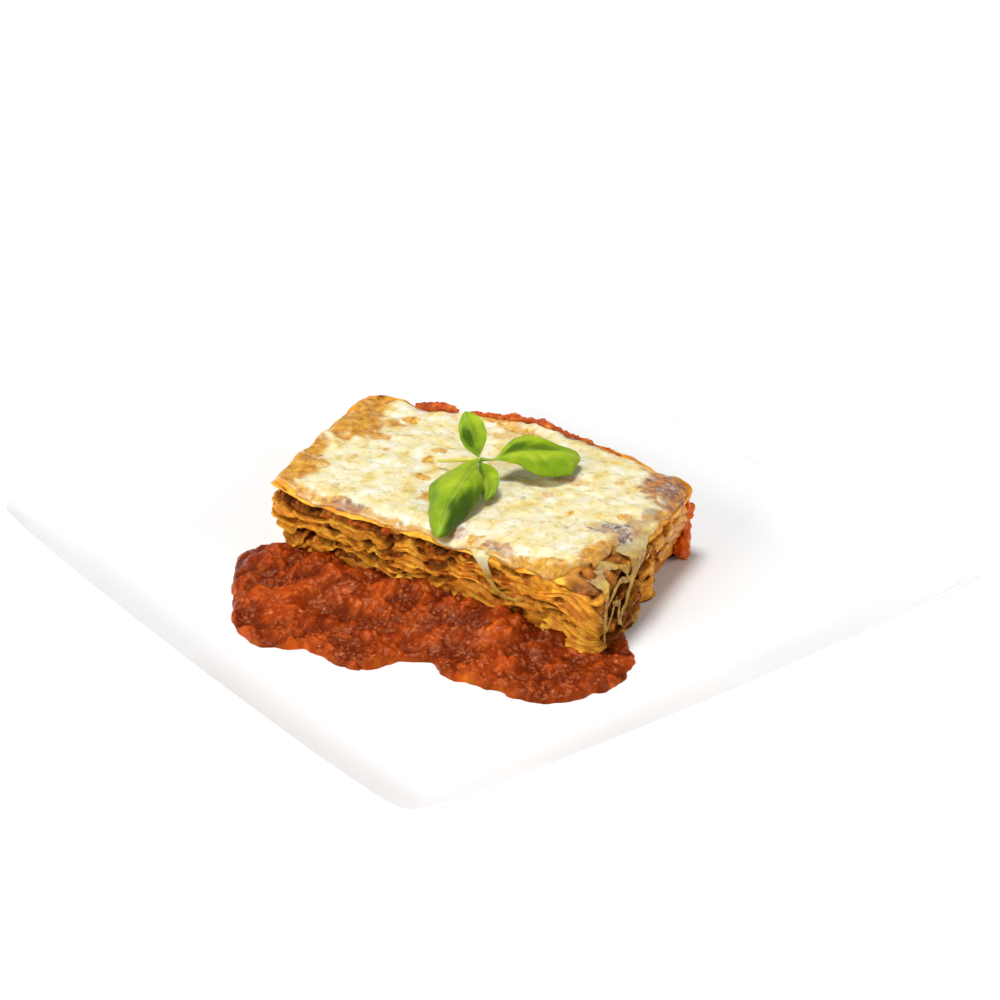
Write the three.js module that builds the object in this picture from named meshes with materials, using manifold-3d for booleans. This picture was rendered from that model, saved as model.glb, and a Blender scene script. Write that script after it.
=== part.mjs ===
// Plate of meat lasagna: a square white plate with a low raised rim, one slice of layered
// lasagna, a pool of chunky tomato sauce against its front and a sprig of basil on top.
// Millimetres, +Z up. The origin is under the middle of the plate, on the plane that its
// foot stands on, and the plate's sides run along X and Y.
import * as THREE from 'three';
import Module from 'manifold-3d';
import { mergeVertices } from 'three/addons/utils/BufferGeometryUtils.js';

const wasm = await Module();
wasm.setup();

// Plate
const PLATE_HALF = 130;
const FLOOR_Z = 8;
const RIM_WIDTH = 27;
const RIM_RISE_SIDE = 8.8;
const RIM_RISE_TIP = 12.8;
const BODY_THICKNESS = 4.4;
const LIP_THICKNESS = 3.2;
const FOOT_HALF = 76;
const FOOT_WIDTH = 6;
const FOOT_ROUNDING = 16;

// Slice of lasagna, in its own frame: U along its length, V from its front to its back
const SLICE_CENTRE = [4.1, 3.9];
const SLICE_TURN = THREE.MathUtils.degToRad(-67.2);
const SLICE_CORNERS = [[-65, -41], [70, -42], [65.5, 43], [-4, 53], [-72, 42]];
const CORNER_ROUNDING = 5;
const SHEET_THICKNESS = 1.6;
const FILLING_THICKNESS = [2.9, 2.9, 3.1, 3.3, 4.2];
const CHEESE_THICKNESS = 2.2;
const GAP = 0.35;
const RAYS = 80;
const BAND_START = 0.84;

// Sauce, in the slice's frame
const SAUCE_CENTRE = [2, -54];
const SAUCE_RAYS = 104;
const SAUCE_CLEARANCE = 3.2;

// Sprig of basil, in the slice's frame
const LEAF_THICKNESS = 0.7;
const LEAF_STALK = 0.08;
const SPRIG_NODE = [0.7, 0.2, 48];

const COLOURS = {
  porcelain: { color: 0xf4f4f2, roughness: 0.12 },
  pasta: { color: 0xd9a03a, roughness: 0.42 },
  filling: { color: 0x9c4a1c, roughness: 0.5 },
  cheese: { color: 0xf3e9c2, roughness: 0.38 },
  sauce: { color: 0xa33a12, roughness: 0.28 },
  tomato: { color: 0xc8431c, roughness: 0.25 },
  leaf: { color: 0x74a82a, roughness: 0.4 },
  stem: { color: 0xa9bd4c, roughness: 0.45 },
};

// Repeatable random numbers from 0 to 1
function randomSource(seed) {
  let state = seed * 2654435761 % 4294967296;
  return () => {
    state = (state * 1664525 + 1013904223) % 4294967296;
    return state / 4294967296;
  };
}

// A wave round a closed border, from -1 to 1, with bumps from long to short
function borderWave(seed, longest, shortest) {
  const random = randomSource(seed);
  const terms = [];
  let total = 0;
  for (let k = longest; k <= shortest; k += 1) {
    const size = (0.4 + random()) / Math.sqrt(k);
    terms.push([k, random() * 2 * Math.PI, size]);
    total += size * 0.55;
  }
  return (turn) => {
    const sum = terms.reduce((s, [k, phase, size]) => s + size * Math.sin(2 * Math.PI * k * turn + phase), 0);
    return THREE.MathUtils.clamp(sum / total, -1, 1);
  };
}

// Lumps over a plane, from -1 to 1, about as far apart as the spacing
function lumps(seed, spacing) {
  const random = randomSource(seed);
  const waves = Array.from({ length: 7 }, (_, k) => {
    const heading = (k * 2.4 + random()) % (2 * Math.PI);
    const pitch = 2 * Math.PI / (spacing * (0.75 + 0.6 * random()));
    return [Math.cos(heading) * pitch, Math.sin(heading) * pitch, random() * 2 * Math.PI];
  });
  return (u, v) => {
    const sum = waves.reduce((s, [a, b, phase]) => s + Math.sin(a * u + b * v + phase), 0);
    return THREE.MathUtils.clamp(sum / 3, -1, 1);
  };
}

// A soft step from 0 at one place to 1 at another, whichever of the two is the larger
function smooth(from, to, x) {
  const t = THREE.MathUtils.clamp((x - from) / (to - from), 0, 1);
  return t * t * (3 - 2 * t);
}

const bump = (x, middle, reach) => Math.exp(-(((x - middle) / reach) ** 2));

// Solids for cutting and joining, and back again
function toSolid(geometry) {
  const bare = geometry.clone();
  bare.deleteAttribute('normal');
  bare.deleteAttribute('uv');
  const merged = mergeVertices(bare, 1e-4);
  return new wasm.Manifold(new wasm.Mesh({
    numProp: 3,
    vertProperties: new Float32Array(merged.attributes.position.array),
    triVerts: new Uint32Array(merged.index.array),
  }));
}

function toGeometry(solid) {
  const mesh = solid.getMesh();
  const geometry = new THREE.BufferGeometry();
  geometry.setAttribute('position', new THREE.BufferAttribute(new Float32Array(mesh.vertProperties), 3));
  geometry.setIndex(new THREE.BufferAttribute(new Uint32Array(mesh.triVerts), 1));
  geometry.computeVertexNormals();
  return geometry;
}

function fromTriangles(points, triangles) {
  const geometry = new THREE.BufferGeometry();
  geometry.setAttribute('position', new THREE.Float32BufferAttribute(points.flat(), 3));
  geometry.setIndex(triangles.flat());
  geometry.computeVertexNormals();
  return geometry;
}

// Joins an outer ring to an inner ring that has as many points, or half as many
function stitch(outer, inner) {
  const triangles = [];
  const n = outer.length;
  if (inner.length === n) {
    for (let i = 0; i < n; i += 1) {
      const next = (i + 1) % n;
      triangles.push([outer[i], outer[next], inner[i]], [outer[next], inner[next], inner[i]]);
    }
    return triangles;
  }
  for (let j = 0; j < inner.length; j += 1) {
    const [a, b, c] = [outer[2 * j], outer[2 * j + 1], outer[(2 * j + 2) % n]];
    const [p, q] = [inner[j], inner[(j + 1) % inner.length]];
    triangles.push([a, b, p], [b, q, p], [b, c, q]);
  }
  return triangles;
}

// A closed slab. Each lid is a list of rings from the border inwards, and a middle point
function slab(top, bottom) {
  const points = [];
  const triangles = [];
  const addLid = (lid, flip) => {
    const rings = lid.rings.map((ring) => ring.map((p) => points.push(p) - 1));
    const middle = points.push(lid.middle) - 1;
    const faces = [];
    for (let k = 0; k + 1 < rings.length; k += 1) {
      faces.push(...stitch(rings[k], rings[k + 1]));
    }
    const last = rings[rings.length - 1];
    last.forEach((p, i) => faces.push([p, last[(i + 1) % last.length], middle]));
    triangles.push(...(flip ? faces.map(([a, b, c]) => [a, c, b]) : faces));
    return rings[0];
  };
  const above = addLid(top, false);
  const below = addLid(bottom, true);
  above.forEach((a, i) => {
    const next = (i + 1) % above.length;
    triangles.push([below[i], below[next], above[next]], [below[i], above[next], a]);
  });
  return fromTriangles(points, triangles);
}

function makePiece(name, look, geometry) {
  const material = new THREE.MeshStandardMaterial({ metalness: 0, ...COLOURS[look] });
  const mesh = new THREE.Mesh(geometry, material);
  mesh.name = name;
  return mesh;
}

// Plate: a flat floor, a rim that curves up to pointed tips, and a square foot under it
function rimReach(x, y) {
  const inner = PLATE_HALF - RIM_WIDTH;
  const a = Math.max(0, Math.abs(x) - inner) / RIM_WIDTH;
  const b = Math.max(0, Math.abs(y) - inner) / RIM_WIDTH;
  return Math.min(1, (a ** 7 + b ** 7) ** (1 / 7));
}

function plateTop(x, y) {
  const towardsTip = (Math.abs(x * y) / PLATE_HALF ** 2) ** 2;
  const rise = THREE.MathUtils.lerp(RIM_RISE_SIDE, RIM_RISE_TIP, towardsTip);
  const reach = rimReach(x, y);
  return FLOOR_Z + rise * reach ** 1.7 - 0.8 * smooth(0.96, 1, reach);
}

function plateUnder(x, y) {
  const reach = rimReach(x, y);
  const thickness = THREE.MathUtils.lerp(BODY_THICKNESS, LIP_THICKNESS, reach);
  return plateTop(x, y) - thickness + 1.4 * smooth(0.9, 1, reach);
}

function makePlate() {
  const flat = PLATE_HALF - RIM_WIDTH;
  const rimSteps = [1, 0.96, 0.84, 0.66, 0.45, 0.22];
  const outer = rimSteps.map((t) => flat + t * RIM_WIDTH);
  const lines = [...outer.map((d) => -d), -flat, -flat / 3, flat / 3, flat, ...outer.reverse()];
  const n = lines.length;
  // The sides bow in a little towards the tips, which rounds them
  const place = (x, y) => {
    const inX = 1 - 0.016 * Math.abs(y / PLATE_HALF) ** 10 * Math.abs(x / PLATE_HALF) ** 4;
    const inY = 1 - 0.016 * Math.abs(x / PLATE_HALF) ** 10 * Math.abs(y / PLATE_HALF) ** 4;
    return [x * inX, y * inY];
  };
  const points = [];
  for (const height of [plateTop, plateUnder]) {
    for (const y of lines) {
      for (const x of lines) {
        points.push([...place(x, y), height(x, y)]);
      }
    }
  }
  const triangles = [];
  const under = n * n;
  for (let j = 0; j + 1 < n; j += 1) {
    for (let i = 0; i + 1 < n; i += 1) {
      const [a, b, c, d] = [j * n + i, j * n + i + 1, (j + 1) * n + i + 1, (j + 1) * n + i];
      // The diagonals run towards the tips, so that the rims meet in a mitre
      const faces = (i < n / 2 - 0.5) === (j < n / 2 - 0.5) ? [[a, b, c], [a, c, d]] : [[a, b, d], [b, c, d]];
      faces.forEach(([p, q, r]) => triangles.push([p, q, r], [under + p, under + r, under + q]));
    }
  }
  for (let k = 0; k + 1 < n; k += 1) {
    const edges = [
      [k, k + 1],
      [k * n + n - 1, (k + 1) * n + n - 1],
      [n * n - 1 - k, n * n - 2 - k],
      [(n - 1 - k) * n, (n - 2 - k) * n],
    ];
    edges.forEach(([p, q]) => triangles.push([under + p, under + q, q], [under + p, q, p]));
  }
  const body = toSolid(fromTriangles(points, triangles));

  const squareOutline = (half, rounding, path) => {
    const arcs = [[1, -1, -0.5], [1, 1, 0], [-1, 1, 0.5], [-1, -1, 1]];
    arcs.forEach(([sx, sy, from]) => {
      const inner = half - rounding;
      path.absarc(sx * inner, sy * inner, rounding, from * Math.PI, (from + 0.5) * Math.PI, false);
    });
    return path;
  };
  const footShape = squareOutline(FOOT_HALF, FOOT_ROUNDING, new THREE.Shape());
  footShape.holes.push(squareOutline(FOOT_HALF - FOOT_WIDTH, FOOT_ROUNDING - FOOT_WIDTH, new THREE.Path()));
  const foot = new THREE.ExtrudeGeometry(footShape, {
    depth: FLOOR_Z - BODY_THICKNESS + 1, bevelEnabled: false, curveSegments: 5,
  });
  return makePiece('plate', 'porcelain', toGeometry(body.add(toSolid(foot))));
}

// The slice's border, as points with outward directions
function sliceBorder(count) {
  const n = SLICE_CORNERS.length;
  const corners = SLICE_CORNERS.map((c) => new THREE.Vector2(...c));
  const path = new THREE.Path();
  corners.forEach((corner, k) => {
    const before = corners[(k + n - 1) % n].clone().sub(corner).setLength(CORNER_ROUNDING).add(corner);
    const after = corners[(k + 1) % n].clone().sub(corner).setLength(CORNER_ROUNDING).add(corner);
    if (k === 0) path.moveTo(before.x, before.y);
    else path.lineTo(before.x, before.y);
    path.quadraticCurveTo(corner.x, corner.y, after.x, after.y);
  });
  path.closePath();
  return path.getSpacedPoints(count).slice(0, count);
}

const BORDER = sliceBorder(RAYS);

// Cheese that has run down over the edge: where, how wide and how far
const FRONT_RUNS = [{ at: 27, width: 7, length: 9 }];
const END_RUNS = [
  { at: -31, width: 5, length: 15 }, { at: -21, width: 6.5, length: 18 }, { at: -9, width: 4.5, length: 11 },
];

function nearRun(u, v) {
  const front = FRONT_RUNS.reduce((m, run) => Math.max(m, v < -30 ? bump(u, run.at, run.width) : 0), 0);
  const end = END_RUNS.reduce((m, run) => Math.max(m, u > 55 ? bump(v, run.at, run.width) : 0), 0);
  return Math.min(1, 1.6 * Math.max(front, end));
}

// How far the top of the stack hangs down at its edge
function edgeDroop(u, v) {
  const frontRight = 2.6 * smooth(-10, 60, u) * smooth(10, -40, v);
  const endCorner = 3 * smooth(56, 66, u) * bump(v, 30, 15);
  const backRise = 3.3 * bump(u, 0, 48) * smooth(0, 45, v);
  const leftRise = (2.4 + 1.2 * smooth(-35, 5, v)) * smooth(-48, -66, u);
  return 0.5 + frontRight + endCorner - backRise - leftRise;
}

// The layers from the bottom up: heights inside, and at the border for each ray
function stackLayers() {
  const layers = [];
  FILLING_THICKNESS.forEach((thickness, k) => {
    layers.push({ name: `pasta_${k + 1}`, look: 'pasta', thickness: SHEET_THICKNESS });
    layers.push({ name: `filling_${k + 1}`, look: 'filling', thickness });
  });
  layers.push({ name: `pasta_${FILLING_THICKNESS.length + 1}`, look: 'pasta', thickness: SHEET_THICKNESS });
  let z = FLOOR_Z;
  layers.forEach((layer, k) => {
    layer.inside = [z + GAP, z + GAP + layer.thickness];
    z = layer.inside[1];
    layer.edge = [[], []];
    const isSheet = layer.look === 'pasta';
    const isLid = k === layers.length - 1;
    const ragged = borderWave(31 + k, isSheet ? 3 : 5, isSheet ? 17 : 26);
    layer.reach = BORDER.map((p, i) => {
      const out = isSheet ? 0.9 + 1.3 * ragged(i / RAYS) : -1.5 + 1.2 * ragged(i / RAYS);
      const lidOut = isLid ? 1.0 * smooth(30, -40, p.x) : 0;
      return THREE.MathUtils.lerp(out + lidOut, Math.min(out, -0.4), nearRun(p.x, p.y));
    });
    layer.swell = borderWave(71 + k, 3, 10);
  });
  const lidInside = z;
  BORDER.forEach((p, i) => {
    const turn = i / RAYS;
    const thicknesses = layers.map((layer) => (
      layer.look === 'pasta' ? layer.thickness : layer.thickness * (1 + 0.4 * layer.swell(turn))
    ));
    const room = lidInside - edgeDroop(p.x, p.y) - FLOOR_Z - GAP * layers.length;
    const sheets = (FILLING_THICKNESS.length + 1) * SHEET_THICKNESS;
    const filling = thicknesses.reduce((s, t, k) => s + (k % 2 ? t : 0), 0);
    let level = FLOOR_Z;
    layers.forEach((layer, k) => {
      const thickness = k % 2 ? thicknesses[k] * (room - sheets) / filling : thicknesses[k];
      layer.edge[0].push(level + GAP);
      level += GAP + thickness;
      layer.edge[1].push(level);
    });
  });
  return layers;
}

// A point on ray i, a share of the way from the middle to the border, at a layer's level
function onRay(i, share, inside, edge) {
  const climb = Math.max(0, (share - BAND_START) / (1 - BAND_START));
  return [BORDER[i].x * share, BORDER[i].y * share, inside + (edge - inside) * climb];
}

function shareAt(i, offset) {
  return 1 + offset / BORDER[i].length();
}

function layerLid(layer, side, shares, lift = 0) {
  const height = layer.inside[side] + lift;
  const border = shares.map((share, i) => onRay(i, share, height, layer.edge[side][i] + lift));
  const band = shares.filter((_, i) => i % 2 === 0).map((_, j) => onRay(2 * j, BAND_START, height, height));
  return { rings: [border, band], middle: [0, 0, height] };
}

function makeLayer(layer) {
  const shares = layer.reach.map((out, i) => shareAt(i, out));
  return makePiece(layer.name, layer.look, slab(layerLid(layer, 1, shares), layerLid(layer, 0, shares)));
}

// A tongue of cheese that bends over the edge and hangs outside the layers
function cheeseRun(anchor, outward, along, run, top, slope) {
  const half = run.width / 2;
  const stations = [
    { out: -4, z: top + slope * 4, half: half * 1.5, tilt: slope },
    { out: -0.6, z: top + slope * 0.6, half: half * 1.25, tilt: slope },
    { out: 1.2, z: top - 1.2, half, tilt: 0.8 },
    { out: 1.9, z: top - 1.2 - run.length * 0.5, half: half * 0.7, tilt: 1.55 },
    { out: 1.6, z: top - 1.2 - run.length, half: half * 0.3, tilt: 1.57 },
  ];
  const points = stations.flatMap((s) => {
    const normal = [Math.sin(s.tilt), Math.cos(s.tilt)];
    return [[-1, -1], [1, -1], [1, 1], [-1, 1]].map(([side, face]) => {
      const out = s.out + normal[0] * face * 0.6;
      return [
        anchor[0] + outward[0] * out + along[0] * side * s.half,
        anchor[1] + outward[1] * out + along[1] * side * s.half,
        s.z + normal[1] * face * 0.6,
      ];
    });
  });
  const triangles = [[0, 2, 1], [0, 3, 2]];
  const last = (stations.length - 1) * 4;
  triangles.push([last, last + 1, last + 2], [last, last + 2, last + 3]);
  for (let s = 0; s + 1 < stations.length; s += 1) {
    for (let k = 0; k < 4; k += 1) {
      const [a, b] = [s * 4 + k, s * 4 + (k + 1) % 4];
      triangles.push([a, b, a + 4], [b, b + 4, a + 4]);
    }
  }
  return toSolid(fromTriangles(points, triangles));
}

// Melted cheese on the top sheet: thin at its ragged border, blistered in the middle
function makeCheese(lid) {
  const ragged = borderWave(5, 3, 20);
  const blisters = lumps(9, 17);
  const reach = BORDER.map((p, i) => {
    const fromLeft = -6.5 * smooth(-45, -66, p.x) - 3 * bump(p.x, -66, 22) * smooth(10, 40, p.y);
    const fromBack = -4.6 * smooth(30, 42, p.y) * smooth(-62, -50, p.x) * smooth(50, 34, p.x);
    const out = -2 + 1.3 * ragged(i / RAYS) + fromLeft + fromBack;
    return THREE.MathUtils.lerp(out, -0.4, nearRun(p.x, p.y));
  });
  const shares = reach.map((out, i) => Math.max(BAND_START + 0.03, shareAt(i, out)));
  const bottom = layerLid(lid, 1, shares, GAP);
  const height = (u, v) => CHEESE_THICKNESS * (0.9 + 0.28 * blisters(u, v));
  const ring = (inset, step, thickness) => shares.filter((_, i) => i % step === 0).map((share, j) => {
    const [u, v, z] = onRay(j * step, share * inset, lid.inside[1] + GAP, lid.edge[1][j * step] + GAP);
    return [u, v, z + thickness * height(u, v)];
  });
  const rings = [
    ring(1, 1, 0.35), ring(0.975, 1, 0.8), ring(0.9, 1, 1), ring(0.76, 2, 1), ring(0.56, 2, 1), ring(0.32, 4, 1),
  ];
  const top = { rings, middle: [0, 0, lid.inside[1] + GAP + height(0, 0)] };
  let cheese = toSolid(slab(top, bottom));
  const [frontLeft, frontRight, backRight] = SLICE_CORNERS;
  FRONT_RUNS.forEach((run) => {
    const share = (run.at - frontLeft[0]) / (frontRight[0] - frontLeft[0]);
    const v = THREE.MathUtils.lerp(frontLeft[1], frontRight[1], share);
    const droop = edgeDroop(run.at, v);
    const slope = -droop / ((1 - BAND_START) * v);
    const edgeZ = lid.inside[1] + GAP + 1.2 - droop;
    cheese = cheese.add(cheeseRun([run.at, v], [0, -1], [1, 0], run, edgeZ, slope));
  });
  END_RUNS.forEach((run) => {
    const share = (run.at - frontRight[1]) / (backRight[1] - frontRight[1]);
    const u = THREE.MathUtils.lerp(frontRight[0], backRight[0], share);
    const droop = edgeDroop(u, run.at);
    const slope = droop / ((1 - BAND_START) * u);
    const edgeZ = lid.inside[1] + GAP + 1.2 - droop;
    cheese = cheese.add(cheeseRun([u, run.at], [1, 0], [0, 1], run, edgeZ, slope));
  });
  return makePiece('cheese', 'cheese', toGeometry(cheese));
}

// A prism round the whole slice, which the sauce is cut back from
function slicePrism() {
  const count = 80;
  const border = sliceBorder(count);
  const grown = border.map((p, i) => {
    const along = border[(i + 1) % count].clone().sub(border[(i + count - 1) % count]).normalize();
    return new THREE.Vector2(p.x + along.y * SAUCE_CLEARANCE, p.y - along.x * SAUCE_CLEARANCE);
  });
  return toSolid(new THREE.ExtrudeGeometry(new THREE.Shape(grown), { depth: 80, bevelEnabled: false }));
}

// Pool of chunky sauce against the slice's front, round its left end and its right corner
const SAUCE_OUTLINE = [
  [-62, -30], [-72, -39], [-73, -46], [-66, -64], [-56, -77], [-48, -89], [-38, -94], [-19, -90],
  [-8, -93], [3, -91], [20, -74], [29, -81], [53, -80], [67, -79], [77, -71], [82, -60], [84, -46],
  [80, -35], [72, -23], [62, -14], [0, -25],
];

function sauceHeight(u, v, share) {
  const againstSlice = smooth(-76, -46, v) * smooth(62, 24, u);
  const rim = Math.sqrt(1 - Math.min(1, share) ** 7);
  const chunks = lumps(3, 13)(u, v) * 1.1 + lumps(4, 7.5)(u, v) * 0.45;
  return 0.7 + (4.6 + 6.2 * againstSlice + chunks) * rim;
}

function makeSauce(prism) {
  const curve = new THREE.CatmullRomCurve3(
    SAUCE_OUTLINE.map(([u, v]) => new THREE.Vector3(u, v, 0)), true, 'centripetal',
  );
  const ragged = borderWave(12, 9, 30);
  const outline = curve.getSpacedPoints(SAUCE_RAYS).slice(0, SAUCE_RAYS);
  const spokes = outline.map((p, i) => {
    const spoke = new THREE.Vector2(p.x - SAUCE_CENTRE[0], p.y - SAUCE_CENTRE[1]);
    return spoke.setLength(spoke.length() + 1.3 * ragged(i / SAUCE_RAYS));
  });
  const base = FLOOR_Z + GAP;
  const ring = (share, step, flat) => spokes.filter((_, i) => i % step === 0).map((spoke) => {
    const [u, v] = [SAUCE_CENTRE[0] + spoke.x * share, SAUCE_CENTRE[1] + spoke.y * share];
    return [u, v, base + (flat ? 0 : sauceHeight(u, v, share))];
  });
  const rings = [1, 0.985, 0.95, 0.88, 0.78, 0.66].map((share) => ring(share, 1, false));
  rings.push(ring(0.5, 2, false), ring(0.34, 2, false), ring(0.17, 2, false));
  const middle = [...SAUCE_CENTRE, base + sauceHeight(...SAUCE_CENTRE, 0)];
  const pool = slab({ rings, middle }, { rings: [ring(1, 1, true)], middle: [...SAUCE_CENTRE, base] });
  return makePiece('sauce_pool', 'sauce', toGeometry(toSolid(pool).subtract(prism)));
}

// Sauce smeared down the back right corner of the slice
function makeSmear(prism) {
  const ball = new THREE.SphereGeometry(1, 18, 11);
  const uneven = lumps(21, 1.3);
  const position = ball.attributes.position;
  const spot = new THREE.Vector3();
  for (let k = 0; k < position.count; k += 1) {
    spot.fromBufferAttribute(position, k);
    const swell = 1 + 0.13 * uneven(spot.x * 1.7 + spot.z, spot.z * 1.9 + spot.y);
    position.setXYZ(k, spot.x * 9.5 * swell, spot.y * 5.6 * swell, spot.z * 13 * swell);
  }
  ball.translate(56.5, 46.5, FLOOR_Z + 9);
  const room = new THREE.BoxGeometry(60, 60, 60);
  room.translate(56.5, 46.5, FLOOR_Z + GAP + 30);
  const smear = toSolid(ball).intersect(toSolid(room)).subtract(prism);
  return makePiece('sauce_smear', 'sauce', toGeometry(smear));
}

// The back border of the top: its V at a given U
function backBorder(u) {
  const [, , backRight, backMiddle, backLeft] = SLICE_CORNERS;
  const side = u > backMiddle[0] ? backRight : backLeft;
  return THREE.MathUtils.mapLinear(u, backMiddle[0], side[0], backMiddle[1], side[1]);
}

// A lumpy strand with a flat underside, laid along stations of U, V, half width, height and base
function makeStrand(name, look, stations) {
  const arc = [0, 0.2, 0.5, 0.8, 1];
  const points = stations.flatMap(([u, v, half, height, base], k) => {
    const [before, after] = [stations[Math.max(0, k - 1)], stations[Math.min(stations.length - 1, k + 1)]];
    const along = new THREE.Vector2(after[0] - before[0], after[1] - before[1]).normalize();
    return arc.map((t) => {
      const across = -Math.cos(t * Math.PI) * half;
      return [u - along.y * across, v + along.x * across, base + 0.3 + Math.sin(t * Math.PI) * height];
    }).concat([[u - along.y * half, v + along.x * half, base], [u + along.y * half, v - along.x * half, base]]);
  });
  const n = arc.length + 2;
  const triangles = [];
  for (let s = 0; s + 1 < stations.length; s += 1) {
    for (let k = 0; k < n; k += 1) {
      const [a, b] = [s * n + k, s * n + (k + 1) % n];
      triangles.push([a, a + n, b], [b, a + n, b + n]);
    }
  }
  for (let k = 1; k + 1 < n; k += 1) {
    const last = (stations.length - 1) * n;
    triangles.push([0, k, k + 1], [last, last + k + 1, last + k]);
  }
  return makePiece(name, look, fromTriangles(points, triangles));
}

// Baked sauce along the back edge of the top
function makeEdgeSauce(lid) {
  const uneven = borderWave(44, 3, 9);
  const count = 17;
  const stations = Array.from({ length: count }, (_, k) => {
    const share = k / (count - 1);
    const u = THREE.MathUtils.lerp(34, -31, share);
    const v = backBorder(u) - 2.3 + uneven(share) * 0.4;
    const body = Math.sin(Math.PI * (0.12 + 0.76 * share));
    const base = lid.inside[1] + GAP + 0.4 - edgeDroop(u, v);
    return [u, v, 1.2 + body * (0.8 + 0.3 * uneven(share * 2)), 1.2 + body * 1.6, base];
  });
  return makeStrand('edge_sauce', 'tomato', stations);
}

// A strip of tomato that lies on the back edge of the top
function makeTomatoPiece(lid) {
  const count = 9;
  const stations = Array.from({ length: count }, (_, k) => {
    const share = k / (count - 1);
    const u = THREE.MathUtils.lerp(-36, -53, share);
    const v = backBorder(u) - 2.6 + 0.5 * Math.sin(share * 5);
    const body = Math.sin(Math.PI * (0.1 + 0.84 * share)) ** 0.8;
    const base = lid.inside[1] + GAP + 0.7 - edgeDroop(u, v);
    return [u, v, 0.7 + 1.6 * body, 0.9 + 2 * body, base];
  });
  return makeStrand('tomato_piece', 'tomato', stations);
}

// A basil leaf: from its base to its tip, arched along its length and cupped across it
function makeLeaf(name, { base, tip, width, lean, arch, cup, tipDrop, lobe }) {
  const start = new THREE.Vector3(...base);
  const axis = new THREE.Vector3(...tip).sub(start);
  const length = axis.length();
  axis.normalize();
  const across = new THREE.Vector3(0, 0, 1).cross(axis).normalize().applyAxisAngle(axis, lean);
  const normal = new THREE.Vector3().crossVectors(axis, across).normalize();
  const shares = [0, 0.08, 0.14, 0.25, 0.38, 0.52, 0.66, 0.8, 0.91, 0.97, 1];
  const sides = [-1, -0.7, -0.35, 0, 0.35, 0.7, 1];
  const points = [];
  for (const face of [1, -1]) {
    for (const share of shares) {
      const beyondStalk = Math.max(0, (share - LEAF_STALK) / (1 - LEAF_STALK));
      const blade = Math.max(0, Math.sin(Math.PI * beyondStalk ** 0.78)) ** 0.72;
      const half = 0.45 + (width / 2 - 0.45) * blade;
      for (const side of sides) {
        const puff = lobe * Math.abs(Math.sin(Math.PI * side)) * blade;
        const rise = arch * 4 * share * (1 - share) + cup * side * side * blade + puff;
        const drop = tipDrop * share ** 4;
        const p = start.clone()
          .addScaledVector(axis, length * share)
          .addScaledVector(across, half * side * (1 - 0.12 * Math.abs(cup) / width))
          .addScaledVector(normal, rise - drop + face * LEAF_THICKNESS / 2);
        points.push(p.toArray());
      }
    }
  }
  const [rows, columns] = [shares.length, sides.length];
  const under = rows * columns;
  const triangles = [];
  for (let r = 0; r + 1 < rows; r += 1) {
    for (let c = 0; c + 1 < columns; c += 1) {
      const [a, b] = [r * columns + c, r * columns + c + 1];
      const [d, e] = [a + columns, b + columns];
      triangles.push([a, d, e], [a, e, b], [under + a, under + e, under + d], [under + a, under + b, under + e]);
    }
  }
  const wall = (p, q) => triangles.push([p, q, under + q], [p, under + q, under + p]);
  for (let r = 0; r + 1 < rows; r += 1) {
    wall((r + 1) * columns, r * columns);
    wall(r * columns + columns - 1, (r + 1) * columns + columns - 1);
  }
  for (let c = 0; c + 1 < columns; c += 1) {
    wall(c, c + 1);
    wall((rows - 1) * columns + c + 1, (rows - 1) * columns + c);
  }
  return makePiece(name, 'leaf', fromTriangles(points, triangles));
}

// Each leaf starts a little way out from the node that the sprig's leaves spring from
const LEAVES = {
  basil_leaf_front: {
    base: [-0.4, -2.0, 47.6], tip: [7.8, -45.6, 40.6], width: 19, lean: 0.05, arch: 2.8, cup: -2.6, tipDrop: 0.6,
    lobe: 0.7,
  },
  basil_leaf_right: {
    base: [2.5, 1.9, 47.9], tip: [28.2, 24.6, 44.6], width: 19.5, lean: 0.32, arch: 1.6, cup: -1.4, tipDrop: 1.6,
    lobe: 1.2,
  },
  basil_leaf_back: {
    base: [-1.3, 2.0, 49.3], tip: [-14.8, 12.6, 60.6], width: 11, lean: 0.25, arch: 1.0, cup: 2.2, tipDrop: 0,
    lobe: 0.4,
  },
  basil_leaf_small: {
    base: [2.6, -1.2, 45.2], tip: [8.6, -13.0, 42.4], width: 8, lean: 0.3, arch: 0.8, cup: -0.8, tipDrop: 0.2,
    lobe: 0.3,
  },
};

function makeStem() {
  const [u, v, z] = SPRIG_NODE;
  const line = new THREE.CatmullRomCurve3([
    new THREE.Vector3(u, v, z), new THREE.Vector3(u - 5, v + 1.4, z - 1.2),
    new THREE.Vector3(u - 12, v + 3.6, z - 3.6), new THREE.Vector3(u - 19, v + 5.6, z - 5.6),
  ]);
  const section = new THREE.Shape();
  section.absarc(0, 0, 0.95, 0, 2 * Math.PI, false);
  const stem = new THREE.ExtrudeGeometry(section, { steps: 7, extrudePath: line, curveSegments: 4, bevelEnabled: false });
  return makePiece('basil_stem', 'stem', stem);
}

const layers = stackLayers();
const lid = layers[layers.length - 1];
const prism = slicePrism();

const slice = new THREE.Group();
slice.position.set(...SLICE_CENTRE, 0);
slice.rotation.z = SLICE_TURN;
slice.add(...layers.map(makeLayer), makeCheese(lid));
slice.add(makeSauce(prism), makeSmear(prism), makeEdgeSauce(lid), makeTomatoPiece(lid));
slice.add(...Object.entries(LEAVES).map(([name, leaf]) => makeLeaf(name, leaf)), makeStem());

const plateOfLasagna = new THREE.Group();
plateOfLasagna.add(makePlate(), slice);

export default plateOfLasagna;
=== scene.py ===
"""Plate of meat lasagna: the looks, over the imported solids.

Shapes are worked out in millimetres. The slice has a frame of its own, with U along its
length, V from its front to its back and Z up; on_plate() turns it onto the plate.
"""
import math

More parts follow.
